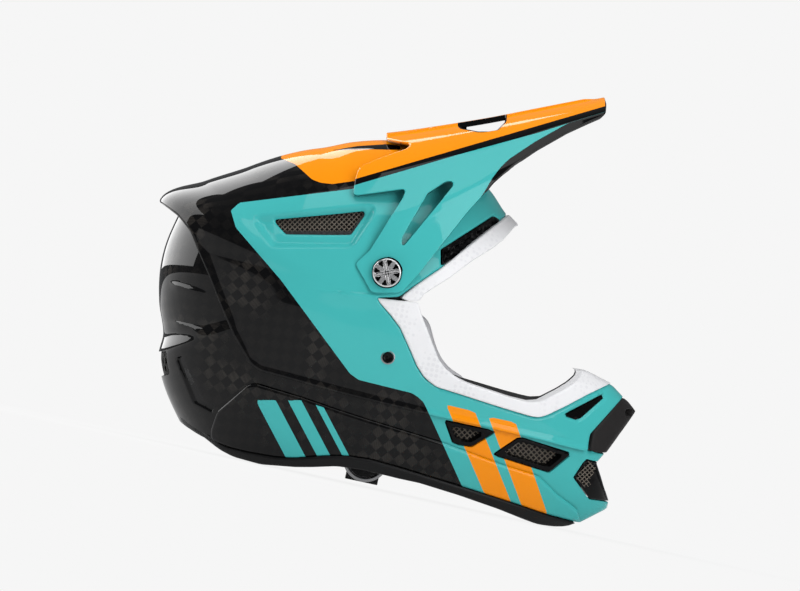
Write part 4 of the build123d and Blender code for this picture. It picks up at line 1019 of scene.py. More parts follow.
def body_rise(p):
    """A sunk groove and two soft ribs on each rear corner."""
    lift = -GROOVE_DEPTH * smooth_step(-groove(p) / 1.6)
    for line in rib_lines:
        t, over = over_line(p, line)
        shape = np.exp(-(over / np.where(over > 0, 1.8, 5.0)) ** 2)
        lift = lift + RIB_HEIGHT * shape * smooth_step(t * 4) * smooth_step((1 - t) * 2)
    return lift


groove_lines = [(groove, level) for level in (0.0, -0.8, -1.6)]
groove_lines += [(lambda p, line=line: over_line(p, line)[1], level)
                 for line in rib_lines for level in (3.0, 1.5, 0.0, -2.0, -5.0)]
hood_lines = [(vent_dish, level) for level in (0.0, -3.5, -7.0)]
hood_lines += [(hood_region, level) for level in (-7.0, -4.5, -2.5)]
hood_lines += [(swage_over, level) for level in (2.0, 0.0, -2.5)]
for piece in (
        moulded("shell_hood", hull_sheet(hood), hood_distance, WALL, 2.3, painted, hood_rise, hood_lines,
                shell_paint),
        moulded("shell_channel", hull_sheet(body), body_distance, WALL, 0.8, painted, body_rise, groove_lines,
                shell_paint),
        moulded("shell_skirt", hull_sheet(body, SKIRT_RISE), skirt_distance, WALL, 2.9, painted,
                paint=shell_paint)):
    joined(piece, "shell", "outer_shell")

# %% [markdown]
# ## Edging
# Each edging is a moulded wall too, cut from the same envelopes a little proud of the shell.

# %% Edging
def strip(outer_line, inner_line, radius):
    """The region between two lines that run side by side."""
    return rounded(np.vstack([placed(outer_line), placed(inner_line)[::-1]]), radius)


def fitted(name, envelope, base, outline, wall, roll, material, node, half=None, rise=None,
           holes=None):
    """A moulded wall inside an outline, on both sides or across the middle."""
    def distance(p):
        d = outline(p) if half is None else inside_block(p, outline, half)
        return np.maximum(d, -holes(p)) if holes else d

    piece = moulded(name, hull_sheet(envelope, base), distance, wall, roll, material, rise)
    joined(piece, "shell", node)


brow_edge_low = [(0.3200, 0.1524)] + brow_edge[:-1] + [(0.0235, -0.0680)]
brow_inner_low = [(0.3200, 0.1226)] + brow_inner[:-1] + [(0.0680, -0.0738)]
cheek_edge_front = cheek_edge + [(0.5600, -0.3010)]
cheek_inner_front = cheek_inner + [(0.5600, -0.2493)]
fitted("brow_edging", hood, 1.2, strip(brow_edge_low, brow_inner_low, 5), 6.2, 1.6, white_rubber,
       "eyeport_trim_upper")
fitted("cheek_edging", hood, 1.2, strip(cheek_edge_front, cheek_inner_front, 2.5), 6.2, 1.6, white_rubber,
       "eyeport_trim_lower")
fitted("neck_edging", body, SKIRT_RISE + 1.2, strip(rim, rim_edge, 20), 8.0, 2.0, black_rubber,
       "base_trim", rise=lambda p: -3.4 * smooth_step((-122 - p[:, 0]) / 22))

# %% [markdown]
# ## The visor
# The peak is a sheet of its own: across it runs from the centre ridge over a rounded
# shoulder down each leg, and along it the section shrinks to the tip. The side view
# outline, the slots in the legs, the windows in the top and the slot over the centre screw
# are cut from it.

# %% Visor surface
visor_stations = np.array([
    (-0.0838, 0.3480, 0.7900, 0.2400, 0.9950, 0.1300, 1.0150, -0.0700),
    (0.0000, 0.3545, 0.8300, 0.2603, 1.0050, 0.1300, 1.0240, -0.0700),
    (0.1117, 0.3733, 0.7700, 0.2950, 0.9150, 0.1800, 1.0000, 0.0000),
    (0.2151, 0.3938, 0.6900, 0.3253, 0.7900, 0.2400, 0.8400, 0.1300),
    (0.3156, 0.4178, 0.6200, 0.3664, 0.7000, 0.3000, 0.7300, 0.2400),
    (0.4749, 0.4560, 0.5000, 0.4220, 0.5300, 0.3800, 0.5450, 0.3500)])
visor_stations = visor_stations * (LENGTH, HEIGHT, HOOD_HALF, HEIGHT, HOOD_HALF, HEIGHT, HOOD_HALF, HEIGHT)
RIDGE_POWER = 2.6
SHOULDER_ROUND = 0.05


def eased_column(x, column):
    """One measure of the visor's section along x, as a smooth curve through the stations."""
    at, value = visor_stations[:, 0], visor_stations[:, column]
    slope = np.gradient(value, at)
    k = np.clip(np.searchsorted(at, x) - 1, 0, len(at) - 2)
    span = at[k + 1] - at[k]
    u = np.clip((x - at[k]) / span, 0, 1)
    return ((2 * u**3 - 3 * u**2 + 1) * value[k] + (u**3 - 2 * u**2 + u) * slope[k] * span
            + (3 * u**2 - 2 * u**3) * value[k + 1] + (u**3 - u**2) * slope[k + 1] * span)


def visor_place(params, rise=0.0):
    """Points of the visor at (x, share across): 0 is the ridge, 1 the foot of the leg."""
    x, v = params[:, 0], np.abs(params[:, 1])
    side = np.sign(params[:, 1])
    ridge, sy, sz, my, mz, fy, fz = (eased_column(x, k) for k in range(1, 8))

    def section(v):
        u = np.clip(v / 0.45, 0, 1)
        top = np.column_stack([u * sy, ridge - u**RIDGE_POWER * (ridge - sz)])
        w = np.clip((v - 0.45) / 0.3, 0, 1)
        flank = np.column_stack([sy + w * (my - sy), sz + w * (mz - sz)])
        q = np.clip((v - 0.75) / 0.25, 0, 1.2)
        foot = np.column_stack([my + q * (fy - my), mz + q * (fz - mz)])
        return np.where((v < 0.45)[:, None], top, np.where((v < 0.75)[:, None], flank, foot))

    spots = [(-1.0, 1), (-0.5, 2), (0.0, 3), (0.5, 2), (1.0, 1)]
    total = sum(weight for _, weight in spots)
    eased = sum(section(np.abs(v + shift * SHOULDER_ROUND)) * weight for shift, weight in spots) / total
    ahead = section(np.clip(v + 0.01, 0, 2)) - section(np.clip(v - 0.01, 0, 2))
    length = np.maximum(np.linalg.norm(ahead, axis=1), 1e-9)
    out = np.column_stack([-ahead[:, 1], ahead[:, 0]]) / length[:, None]
    out = np.where((out[:, :1] < 0) & (v < 0.02)[:, None], -out, out)
    moved = eased + out * np.asarray(rise).reshape(-1, 1)
    return np.column_stack([x, side * moved[:, 0], moved[:, 1]])


# %% Visor lines
visor_outline = rounded(placed([
    (-0.0011, 0.3700), (-0.0011, 0.3455), (0.0168, 0.3397), (0.0508, 0.3305), (0.0391, 0.3192),
    (0.0176, 0.3103), (-0.0279, 0.2894), (-0.0570, 0.2723), (-0.0654, 0.2469), (-0.0715, 0.1962),
    (0.0402, 0.2140), (0.0321, 0.1911), (-0.0156, 0.0997), (-0.0363, 0.0592), (-0.0634, 0.0284),
    (-0.0654, 0.0185), (-0.0344, -0.0476), (-0.0274, -0.0521), (0.0215, -0.0527), (0.0341, -0.0476),
    (0.0673, -0.0045), (0.1170, 0.0743), (0.1665, 0.1507), (0.2142, 0.2164), (0.2246, 0.2318),
    (0.2662, 0.2774), (0.3156, 0.3182), (0.3779, 0.3613), (0.4235, 0.3866), (0.4483, 0.3993),
    (0.4564, 0.4096), (0.4587, 0.4349), (0.4483, 0.4900), (-0.0011, 0.4900)]), 3.5)
visor_slot = rounded(placed([
    (0.1341, 0.2342), (0.1397, 0.2267), (0.0352, 0.0709), (0.0304, 0.0757), (0.0313, 0.0856),
    (0.0838, 0.2010), (0.1212, 0.2315)]), 2.5)
visor_window = rounded(placed([(0.1500, 0.3740), (0.1676, 0.50), (0.2520, 0.50), (0.2470, 0.3887),
                               (0.2263, 0.3640), (0.1900, 0.3640)]), 3)
WINDOW_FROM, WINDOW_TO = 0.12 * HOOD_HALF, 0.50 * HOOD_HALF
HEAD_RECESS = 10.75 + 0.25
HEAD_SLOT_ANGLES, HEAD_SLOT_HALF = (math.radians(10), math.radians(22)), 8.5
LIP_WIDTH, LIP_FROM, TIP_FROM = 5.6, 66.0, 163.2
BAND_RISE, BAND_EASE = 1.7, 2.4


def window_distance(p):
    """The two windows beside the ridge."""
    middle, half = (WINDOW_FROM + WINDOW_TO) / 2, (WINDOW_TO - WINDOW_FROM) / 2
    return np.maximum(visor_window(p), np.abs(np.abs(p[:, 1]) - middle) - half)


def head_slot_distance(p):
    """A slot in the ridge: the centre screw's head passes in it when the visor tilts."""
    start, end = HEAD_SLOT_ANGLES
    along = np.abs(np.arctan2(p[:, 0], p[:, 2]) - (start + end) / 2) - (end - start) / 2
    return np.hypot(np.maximum(along * np.hypot(p[:, 0], p[:, 2]), 0), p[:, 1]) - HEAD_SLOT_HALF


def visor_distance(p):
    """The peak's outline without its slots, its windows and the bores round the screws."""
    side = np.where(np.abs(p[:, 1]) > HOOD_HALF / 2, visor_slot(p), FAR)
    bore = np.hypot(p[:, 0], p[:, 2]) - HEAD_RECESS
    return np.max([visor_outline(p), -side, -window_distance(p), -head_slot_distance(p), -bore], axis=0)


def line_height(points, line):
    """Height of points above a line of the side view, in millimetres."""
    xs, zs = np.array(line, float).T
    return points[:, 2] - np.interp(points[:, 0], xs, zs)


band_top = [(-60, 59.4), (-21.9, 70.6), (160.5, 124), (200, 135)]
band_bottom = [(-60, 54.8), (-24.2, 65.4), (53.7, 88.4), (113, 104.7), (157.5, 118.8), (200, 132)]


def lip_distance(p):
    """The black lip under the peak, wider towards its middle, and the black face of its tip."""
    width = LIP_WIDTH * smooth_step((p[:, 0] - LIP_FROM) / 22)
    under = np.maximum(-visor_outline(p) - width, line_height(p, band_bottom))
    ahead = np.where(p[:, 0] > LIP_FROM, under, 5.0)
    return np.min([ahead, TIP_FROM - p[:, 0], window_distance(p) - 1.2], axis=0)


def band_edge(p):
    """How far out of the raised band a point lies. The band narrows to the tip."""
    return np.abs(p[:, 1]) - np.interp(p[:, 0], [0, 165], [27.0, 12.0])


def visor_rise(p):
    """The raised band along the middle of the peak."""
    return BAND_RISE * smooth_step(-band_edge(p) / BAND_EASE) * smooth_step((158 - p[:, 0]) / 12)


ridge_lines = [(band_edge, level) for level in (0.0, -BAND_EASE / 2, -BAND_EASE)]
visor_paint_lines = [
    ("top", lambda p: -line_height(p, band_top)),
    ("band", lambda p: -line_height(p, band_bottom)),
    ("lip", lip_distance),
]

# %% Visor piece
VISOR_WALL = 2.4
visor_sheet = grid_sheet(visor_place, (-30, 168), (-1.2, 1.2), (190, 220))
joined(moulded("visor_peak", visor_sheet, visor_distance, VISOR_WALL, 0.9, visor_paint, visor_rise,
               ridge_lines, visor_paint_lines), "visor", "visor")

# %% Lug of the centre screw
LUG_FACE, LUG_HALF, LUG_WALL = 104.3, 11.0, 2.4
SLOT_HALF = 2.8
SLOT_ANGLES = (math.radians(10.42), math.radians(30.58))
LUG_MARGIN = math.radians(4.5)


def crown_place(params, rise=0.0):
    """Points over the crown at (angle forward of up, millimetres across)."""
    angle, y = params[:, 0], params[:, 1]
    r = LUG_FACE + rise
    return np.column_stack([r * np.sin(angle), y, r * np.cos(angle)])


def lug_distance(p):
    """A plate with a long slot, in millimetres along and across the crown."""
    low, high = SLOT_ANGLES
    half = (high - low) / 2
    along = np.abs(np.arctan2(p[:, 0], p[:, 2]) - (low + high) / 2)
    plate = np.maximum((along - half - LUG_MARGIN) * LUG_FACE, np.abs(p[:, 1]) - LUG_HALF)
    over = np.maximum(along * LUG_FACE - half * LUG_FACE + SLOT_HALF, 0)
    return np.maximum(plate, SLOT_HALF - np.hypot(over, p[:, 1]))


def lug_rib(side, sign):
    """A web from the lug up to the underside of the peak."""
    angles = np.linspace(SLOT_ANGLES[0] - LUG_MARGIN, SLOT_ANGLES[1] + LUG_MARGIN, 24)
    low = np.column_stack([np.sin(angles), 0 * angles, np.cos(angles)]) * (LUG_FACE - 0.4)
    shares = 0.45 * (LUG_HALF - 1.2) / np.array([eased_column(low[:, 0], 2)])[0]
    high = visor_place(np.column_stack([low[:, 0], shares]), -1.2)
    points, faces, n = [], [], len(angles)
    for y in (LUG_HALF - 2.2, LUG_HALF - 0.2):
        for row in (low, high):
            points.append(np.column_stack([row[:, 0], 0 * angles + sign * y, row[:, 2]]))
    order = (0, 1, 3, 2)
    for a, b in zip(order, order[1:] + order[:1]):
        for k in range(n - 1):
            faces += [(a * n + k, b * n + k, b * n + k + 1), (a * n + k, b * n + k + 1, a * n + k + 1)]
    for k in (0, n - 1):
        faces += [(k, n + k, 3 * n + k), (k, 3 * n + k, 2 * n + k)]
    rib = mesh_piece(f"lug_rib_{side}", np.vstack(points), faces, gloss_black)
    mended(rib.data)
    rib.data.set_sharp_from_angle(angle=math.radians(30))
    return rib


lug_sheet = grid_sheet(crown_place, (SLOT_ANGLES[0] - 0.12, SLOT_ANGLES[1] + 0.12), (-13.0, 13.0), (70, 40))
joined(moulded("visor_lug", lug_sheet, lug_distance, LUG_WALL, 0.4, gloss_black), "visor")
for side, sign in SIDES:
    joined(lug_rib(side, sign), "visor")

# %% [markdown]
# ## Bezels, grilles and guards
# The gloss frames round the chin vents, the ribbed brow grille and the mouldings on the
# point of the chin are moulded walls again. Ribs and slots are rises and holes in them.

# %% Bezels and guards
BEZEL_WIDTH = 3.6


def ringed(outline, width):
    """Holes that leave a frame of one width inside an outline."""
    return lambda p: outline(p) + width


def on_side(sign, test):
    """A distance that counts on one side of the helmet only."""
    return lambda p: np.where(p[:, 1] * sign > 0, test(p), FAR)


def on_both(name, envelope, base, outline, wall, roll, material, node, rise=None, holes=None):
    """One moulded wall on each side."""
    for side, sign in SIDES:
        test = on_side(sign, lambda p: np.maximum(outline(p), -holes(p)) if holes else outline(p))
        piece = moulded(f"{name}_{side}", hull_sheet(envelope, base), test, wall, roll, material, rise)
        joined(piece, "shell", f"{node}_{side}")


for title, region in (("front", front_vent_region), ("rear", rear_vent_region)):
    on_both(f"bezel_{title}", body, 0.8, region, 5.0, 0.9, gloss_black, f"chin_vent_bezel_{title}",
            holes=ringed(region, BEZEL_WIDTH))
on_both("slot_plug", hood, -1.6, slot_region, 2.6, 0.3, gloss_black, "cheek_slot_plug")
RIB_PITCH = 2.6


def rib_rise(p):
    """Ribs that stand across the grille, sunk towards its frame."""
    along = p[:, 0] * 0.85 + p[:, 2] * 0.53
    wave = 0.5 + 0.5 * np.cos(2 * math.pi * along / RIB_PITCH)
    depth = smooth_step((-brow_region(p) - 1.0) / 1.4)
    under = p[:, 2] - np.interp(p[:, 0], [41, 80.6], [17.5, 42.9])
    low = smooth_step((-under - 4.2) / 1.0)
    return -depth * (1.2 * (1 - wave) + 2.4 * low)


on_both("brow_grille", hood, -0.3, brow_region, 5.2, 0.4, gloss_black, "brow_vent_grille",
        rise=rib_rise)
guard_low, guard_high = placed(guard)[:, 1].min(), placed(guard)[:, 1].max()
SLOT_HEIGHT, SLOT_LENGTH = 5.0, 15.0


def guard_slots(p):
    """Two rows of breathing slots across the front."""
    near = np.full(len(p), FAR)
    for row in (1, 2):
        z = guard_low + (guard_high - guard_low) * row / 3 + SLOT_HEIGHT / 2
        for column in (-2, -1, 0, 1, 2):
            dy = np.abs(p[:, 1] - column * 4 * SLOT_HEIGHT) - SLOT_LENGTH / 2
            dz = np.abs(p[:, 2] - z) - SLOT_HEIGHT / 2
            near = np.minimum(near, np.maximum(dy, dz))
    return near


def intake_mouths(p):
    """One wide mouth on each side of the middle."""
    low = placed(intake)[:, 1].min() + BEZEL_WIDTH
    high = placed(intake)[:, 1].max() - BEZEL_WIDTH
    dz = np.abs(p[:, 2] - (low + high) / 2) - (high - low) / 4
    width = MOUTH_HALF - 2 * BEZEL_WIDTH
    dy = np.abs(np.abs(p[:, 1]) - BEZEL_WIDTH / 2 - width / 2) - width / 2
    return np.maximum(dy, dz)


fitted("chin_guard", hood, 0.8, rounded(placed(guard), 2), 6.6, 1.4, guard_grey, "mouth_guard",
       half=GUARD_HALF, holes=guard_slots)
gill_region = rounded([(140.5, -153.5), (152.0, -139.0), (156.0, -146.0), (150.5, -163.5)], 1.5)
fitted("chin_scoop", body, 0.8, rounded(placed(intake), 2), 6.6, 1.2, gloss_black, "chin_intake",
       half=INTAKE_HALF, holes=intake_mouths,
       rise=lambda p: -2.6 * smooth_step(-gill_region(p) / 1.2))


PORT_PITCH, PORT_HOLE = 11.0, 3.4


def port_holes(p):
    """Round holes in slanted rows."""
    u, v = (p[:, 1] + p[:, 2]) / PORT_PITCH, (p[:, 1] - p[:, 2]) / PORT_PITCH
    near = np.hypot(u - np.round(u), v - np.round(v)) * PORT_PITCH - PORT_HOLE
    return np.maximum(near, inside_block(p, port_region, PORT_HALF) + 1.2)


port_backing = Outline(placed([
    (-0.53, -0.1985), (-0.4450, -0.1950), (-0.4340, -0.2260), (-0.4540, -0.2670), (-0.53, -0.2810)]))
fitted("port_grille", body, -2.2, port_backing, 1.8, 0.3, net_black, "rear_exhaust_mesh",
       half=PORT_HALF + 1.5, holes=port_holes)
chin_liner_line = [
    (0.1150, -0.2520), (0.1749, -0.2820), (0.2620, -0.3140), (0.2992, -0.3262), (0.3207, -0.3320),
    (0.3433, -0.3310), (0.3659, -0.3230), (0.3885, -0.3080), (0.4030, -0.2990), (0.4180, -0.3200),
    (0.4500, -0.3300), (0.4800, -0.5200), (0.3900, -0.5700), (0.1100, -0.4700)]
breath_region = Outline(placed([(0.3, -0.3700), (0.6, -0.3700), (0.6, -0.4650), (0.3, -0.4650)]))
fitted("chin_liner", body, -9.6, rounded(placed(chin_liner_line), 4), 12.5, 3.0, bead_foam, "chin_foam",
       holes=lambda p: inside_block(p, breath_region, 34.0))

# %% [markdown]
# ## Wire nets
# Behind the vents lies woven wire. Each wire is a line that waves over and under its
# neighbours, worked out on the envelope. Geometry Nodes give every line its round section.

# %% A tree that makes wires
def wire_tree():
    tree = bpy.data.node_groups.new("net_wires", "GeometryNodeTree")
    for title, kind, way in (("Lines", "Geometry", "INPUT"), ("Wire radius", "Float", "INPUT"),
                             ("Sides", "Int", "INPUT"), ("Finish", "Material", "INPUT"),
                             ("Wires", "Geometry", "OUTPUT")):
        tree.interface.new_socket(title, in_out=way, socket_type=f"NodeSocket{kind}")
    source, result, curve, ring, sweep, real, coat = (tree.nodes.new(kind) for kind in (
        "NodeGroupInput", "NodeGroupOutput", "GeometryNodeMeshToCurve", "GeometryNodeCurvePrimitiveCircle",
        "GeometryNodeCurveToMesh", "GeometryNodeRealizeInstances", "GeometryNodeSetMaterial"))
    sweep.inputs["Fill Caps"].default_value = True
    linked(tree, (
        (source.outputs["Lines"], curve.inputs[0]), (source.outputs["Wire radius"], ring.inputs["Radius"]),
        (source.outputs["Sides"], ring.inputs["Resolution"]), (curve.outputs[0], sweep.inputs["Curve"]),
        (ring.outputs[0], sweep.inputs["Profile Curve"]), (sweep.outputs[0], real.inputs[0]),
        (real.outputs[0], coat.inputs["Geometry"]), (source.outputs["Finish"], coat.inputs["Material"]),
        (coat.outputs[0], result.inputs[0])))
    return tree


wires = wire_tree()


def wired(name, lines, radius, material, sides=6):
    """Lines in metres, each a list of points, as round wires in one plain mesh."""
    points = np.vstack(lines)
    starts = np.cumsum([0] + [len(line) for line in lines])
    edges = [(k, k + 1) for first, last in zip(starts, starts[1:]) for k in range(first, last - 1)]
    mesh = bpy.data.meshes.new(name)
    mesh.from_pydata(points.tolist(), edges, [])
    piece = added(name, mesh)
    modifier = piece.modifiers.new("wires", "NODES")
    modifier.node_group = wires
    values = {"Wire radius": radius, "Sides": sides, "Finish": material}
    for item in wires.interface.items_tree:
        if item.item_type == "SOCKET" and item.name in values:
            modifier[item.identifier] = values[item.name]
    grown = applied(piece)
    piece.data = grown
    coated(grown, material)
    grown.shade_smooth()
    print(name, len(lines), "wires", len(grown.polygons), "faces")
    return piece


# %% Nets
def woven_lines(outline, margin, pitch, slant, lift):
    """Wires both ways over an outline. lift takes side view points and a height to a surface."""
    middle = outline.points.mean(0)
    reach = np.abs(outline.points - middle).max() * 1.5
    lines = []
    for turn in (slant, slant + 90):
        along = np.array([math.cos(math.radians(turn)), math.sin(math.radians(turn))])
        across = np.array([-along[1], along[0]])
        count = int(reach / pitch)
        for k in range(-count, count + 1):
            t = np.arange(-count * 2, count * 2 + 1) * pitch / 2
            spots = middle + across * k * pitch + t[:, None] * along
            wave = np.where(np.arange(len(t)) % 2 == 0, 1, 0) * np.cos(math.pi * (t / pitch + k))
            wave = wave if turn == slant else -wave
            inside = outline(np.column_stack([spots[:, 0], spots[:, 1]])) < margin
            runs = np.split(np.arange(len(t)), np.flatnonzero(np.diff(inside.astype(int))) + 1)
            for run in runs:
                if inside[run[0]] and len(run) > 2:
                    lines.append(standing(lift(spots[run], wave[run])))
    return lines


def side_net(name, envelope, depth, outline, margin, pitch, slant, radius, node):
    """A net behind an outline on each side. Without a node it is an extra."""
    for side, sign in SIDES:
        def lift(spots, wave):
            y = envelope.side(spots[:, 0], spots[:, 1], -depth) + wave * radius * 900
            return np.column_stack([spots[:, 0], sign * y, spots[:, 1]])

        piece = wired(f"{name}_{side}", woven_lines(outline, margin, pitch, slant, lift), radius, wire_black)
        joined(piece, "shell", node and f"{node}_{side}")


side_net("vent_net", hood, DISH_DEPTH + WALL + 0.6, vent_region, 2.0, 2.6, 45, 0.00042, "side_vent_mesh")
side_net("front_net", body, 5.0, front_vent_region, 0.5, 2.9, 40, 0.00045, "chin_vent_mesh_front")
side_net("gill_net", body, 0.5, gill_region, 0.3, 2.4, 40, 0.0004, None)
side_net("rear_net", body, 5.0, rear_vent_region, 0.5, 2.9, 40, 0.00045, "chin_vent_mesh_rear")

# %% [markdown]
# ## The visor's screws
# The head of each side screw is a turned disc with a milled pattern: a height over its face
# gives eight pockets at the rim and two pairs of fine grooves that cross in the middle.
# Rings from the shank round the head close it into one solid.

# %% Screws
HEAD_HEIGHT, HEAD_FOOT = 3.5, 121.9
SHANK = [(10.75, 0.0), (10.6, 0.0), (4.0, 0.0), (4.0, -3.9), (3.0, -3.9), (3.0, -11.9), (0.001, -11.9)]
POCKETS = 8
HEAD_TILT = math.radians(10)


def face_height(r):
    """Height of the plain face with its bevel."""
    return HEAD_HEIGHT - 0.5 * smooth_step((r - 9.9) / 0.85)


def head_height(r, angle):
    """Height of the milled face over its foot, in millimetres."""
    height = face_height(r)
    turn = (angle * POCKETS / (2 * math.pi)) % 1.0
    width = np.clip(0.16 + 0.05 * (r - 6.0), 0.05, 0.36)
    pocket = smooth_step((width - np.abs(turn - 0.5)) / 0.07) * smooth_step((r - 5.2) / 0.5)
    height = height - 1.9 * pocket * smooth_step((9.5 - r) / 0.4)
    for arm in (0, math.pi / 2):
        across = r * np.sin(angle - arm)
        milled = np.exp(-((np.abs(across) - 0.95) / 0.28) ** 2) * smooth_step((8.6 - r) / 0.5)
        height = height - 0.7 * milled
    return height


def painted_pocket_shade(points):
    """Painted shade of a spot of the head: darker the deeper it lies under its face, as a share."""
    r, angle = np.hypot(points[:, 0], points[:, 2]), np.arctan2(points[:, 2], points[:, 0]) - HEAD_TILT
    full = face_height(r)
    shown = np.abs(points[:, 1]) > HEAD_FOOT + 0.5
    return np.where(shown & (r < 9.6), np.clip((full - head_height(r, angle) - 0.15) * 1.6, 0, 1), 0)


def screw_piece(name, sign):
    """A side screw: its shank, its head and the milled face, ring by ring."""
    count = 192
    angle = np.arange(count) * 2 * math.pi / count
    rings = [(r, np.full(count, h)) for r, h in SHANK[::-1] + [(10.75, HEAD_HEIGHT - 0.9)]]
    for r in np.concatenate([[10.75, 10.6], np.linspace(10.3, 0.25, 34)]):
        rings.append((r, head_height(np.full(count, r), angle) - (0.25 if r > 10.7 else 0)))
    turn = angle + HEAD_TILT
    points = np.vstack([np.column_stack([r * np.cos(turn), sign * (HEAD_FOOT + h), r * np.sin(turn)])
                        for r, h in rings])
    piece = turned(name, points, len(rings), count, sign, machined, 38)
    # Painted shade for the pockets and grooves, darker with depth.
    store(piece, "pocket", painted_pocket_shade(points))
    return piece


def rivet_piece(name, sign, middle, rings, material, node, count=64):
    """A small turned head whose rings run from its rim to its middle, on a flank of the shell."""
    angle = np.arange(count) * 2 * math.pi / count
    points = []
    for r, h in rings:
        x, z = middle[0] + r * np.cos(angle), middle[1] + r * np.sin(angle)
        points.append(np.column_stack([x, sign * (hood.side(*middle) + h) + 0 * x, z]))
    joined(turned(name, np.vstack(points), len(rings), count, sign, material, 40), "shell", node)


RIVET = (0.75, -63.0)
collar_rings = [(5.3, -2.0), (5.3, 0.15), (5.0, 0.35), (4.4, 0.35), (4.2, 0.1), (4.2, -1.9)]
rivet_rings = [(4.1, -3.0), (4.1, 0.5), (3.8, 0.75), (3.0, 0.8), (2.6, 0.55), (1.2, 0.5), (0.9, 0.75),
               (0.3, 0.8)]
for side, sign in SIDES:
    rivet_piece(f"strap_rivet_{side}", sign, RIVET, rivet_rings, gloss_black, "strap_rivets")
    rivet_piece(f"rivet_collar_{side}", sign, RIVET, collar_rings, steel, None)
for side, sign in SIDES:
    joined(screw_piece(f"pivot_screw_{side}", sign), f"screw_{side}", f"visor_screw_{side}")

# %% [markdown]
# ## Chin strap
# The long half is built here; it hangs from its rivet between shell and foam. A strap is one strip of
# webbing: its line is eased through a few points, and its section has rounded edges.

# %% Straps
STRAP_HALF, STRAP_WALL = 12.5, 1.6
PLATE_WALL, PLATE_GAP = 1.2, 0.35
rivet_x, rivet_z = placed([(0.0021, -0.2158)])[0]
rivet_at = standing([(rivet_x, 0, rivet_z)])[0]
plumb = rivet_at[2] / MM
strap_face = float(body.side(rivet_x, rivet_z, -WALL)) - PLATE_GAP - PLATE_WALL - PLATE_GAP - STRAP_WALL / 2
DROP, FOOT = 58.4, 78.25
fall = [(strap_face, 10.0), (strap_face, -0.2 * DROP), (strap_face - 3.2, -0.5 * DROP),
        (strap_face - 8, -0.8 * DROP), (FOOT + 8, -1.02 * DROP)]
low_line = plumb - 0.6 - 3.2
lay = [(FOOT + 1.6, -1.2 * DROP), (FOOT - 4.8, -1.42 * DROP), (FOOT - 14.4, -0.45 * DROP - 0.7 * low_line),
       (FOOT - 28.8, -low_line), (FOOT - 48, -low_line), (FOOT - 70.4, -low_line)]


def eased(points, steps=8):
    """A smooth line through points."""
    points = np.array(points, float)
    ends = np.vstack([2 * points[0] - points[1], points, 2 * points[-1] - points[-2]])
    made = []
    for a, b, c, d in zip(ends, ends[1:], ends[2:], ends[3:]):
        for t in np.arange(steps) / steps:
            made.append(0.5 * (2 * b + (c - a) * t + (2 * a - 5 * b + 4 * c - d) * t**2
                               + (3 * b - a - 3 * c + d) * t**3))
    return np.array(made + [points[-1]])


def strap_piece(name, line, node):
    """A strip with a rounded section that follows a line in the plane across the helmet."""
    line = eased(line)
    ahead = np.gradient(line, axis=0)
    ahead /= np.linalg.norm(ahead, axis=1)[:, None]
    out = np.column_stack([-ahead[:, 1], ahead[:, 0]])
    half, wall = STRAP_HALF, STRAP_WALL / 2
    section = [(-half + 0.1, -0.35), (-half + 0.5, -wall), (half - 0.5, -wall), (half - 0.1, -0.35),
               (half - 0.1, 0.35), (half - 0.5, wall), (-half + 0.5, wall), (-half + 0.1, 0.35)]
    points = []
    for spot, side in zip(line, out):
        for x, lift in section:
            y, z = spot + side * lift
            points.append((rivet_at[0] / MM + x, y, plumb + z))
    piece = turned(name, worn(np.array(points) * MM), len(line), len(section), 1, webbing, 50)
    joined(piece, "shell", node)


strap_piece("strap_long", fall + lay, "chin_strap_left")

# %% [markdown]
# ## Pads
# The cheek pads, the neck roll and the head lining are knit over open foam. Each starts
# as its CAD form, remeshed and drawn in a little, and a short cloth simulation under
# pressure plumps it, held to a few millimetres.

# %% Padding
def remeshed(node, name, voxel):
    """A copy of a CAD node with even faces."""
    piece = added(name, frame["nodes"][node].data.copy())
    mended(piece.data, 1e-5)
    modifier = piece.modifiers.new("even", "REMESH")
    modifier.mode, modifier.voxel_size = "VOXEL", voxel
    piece.data = applied(piece)
    return piece


CLOTH_STEPS, CLOTH_PRESSURE = 20, 4


def plumped(node, name, voxel, drawn_in, cap, material, subdivide=True):
    """Remesh, draw in, blow up as cloth, hold the swelling to a cap and smooth."""
    piece = remeshed(node, name, voxel)
    mesh = piece.data
    move_to(mesh, vectors(mesh, "co") - vectors(mesh, "normal") * drawn_in)
    mesh.update()
    cloth = piece.modifiers.new("cloth", "CLOTH")
    cloth.settings.use_pressure = True
    cloth.settings.uniform_pressure_force = CLOTH_PRESSURE
    cloth.settings.effector_weights.gravity = 0
    for step in range(1, CLOTH_STEPS + 1):
        bpy.context.scene.frame_set(step)
    swollen = applied(piece)
    bpy.context.scene.frame_set(1)
    start = vectors(mesh, "co")
    move = vectors(swollen, "co") - start
    length = np.maximum(np.linalg.norm(move, axis=1), 1e-9)
    move_to(mesh, start + move * np.minimum(1, cap / length)[:, None])
    smooth = piece.modifiers.new("smooth", "SMOOTH")
    smooth.factor, smooth.iterations = 0.5, 6
    if subdivide:
        finer = piece.modifiers.new("finer", "SUBSURF")
        finer.levels = finer.render_levels = 1
    piece.data = applied(piece)
    coated(piece.data, material)
    piece.data.shade_smooth()
    joined(piece, "shell", node)
    print(name, len(piece.data.polygons), "faces")


for side, _ in SIDES:
    plumped(f"cheek_foam_{side}", f"cheek_block_{side}", 0.004, 0.0006, 0.0012, knit)
    plumped(f"cheek_pad_{side}", f"cheek_cushion_{side}", 0.004, 0.0012, 0.004, knit)
plumped("neck_roll", "neck_cushion", 0.004, 0.0012, 0.003, knit_dark)
plumped("comfort_liner", "head_lining", 0.0025, 0.0004, 0.0012, knit_dark, subdivide=False)

# %% [markdown]
# The crush liner keeps its CAD form. Its front lip is pulled back behind the brow edging,
# which covers it on the real helmet.

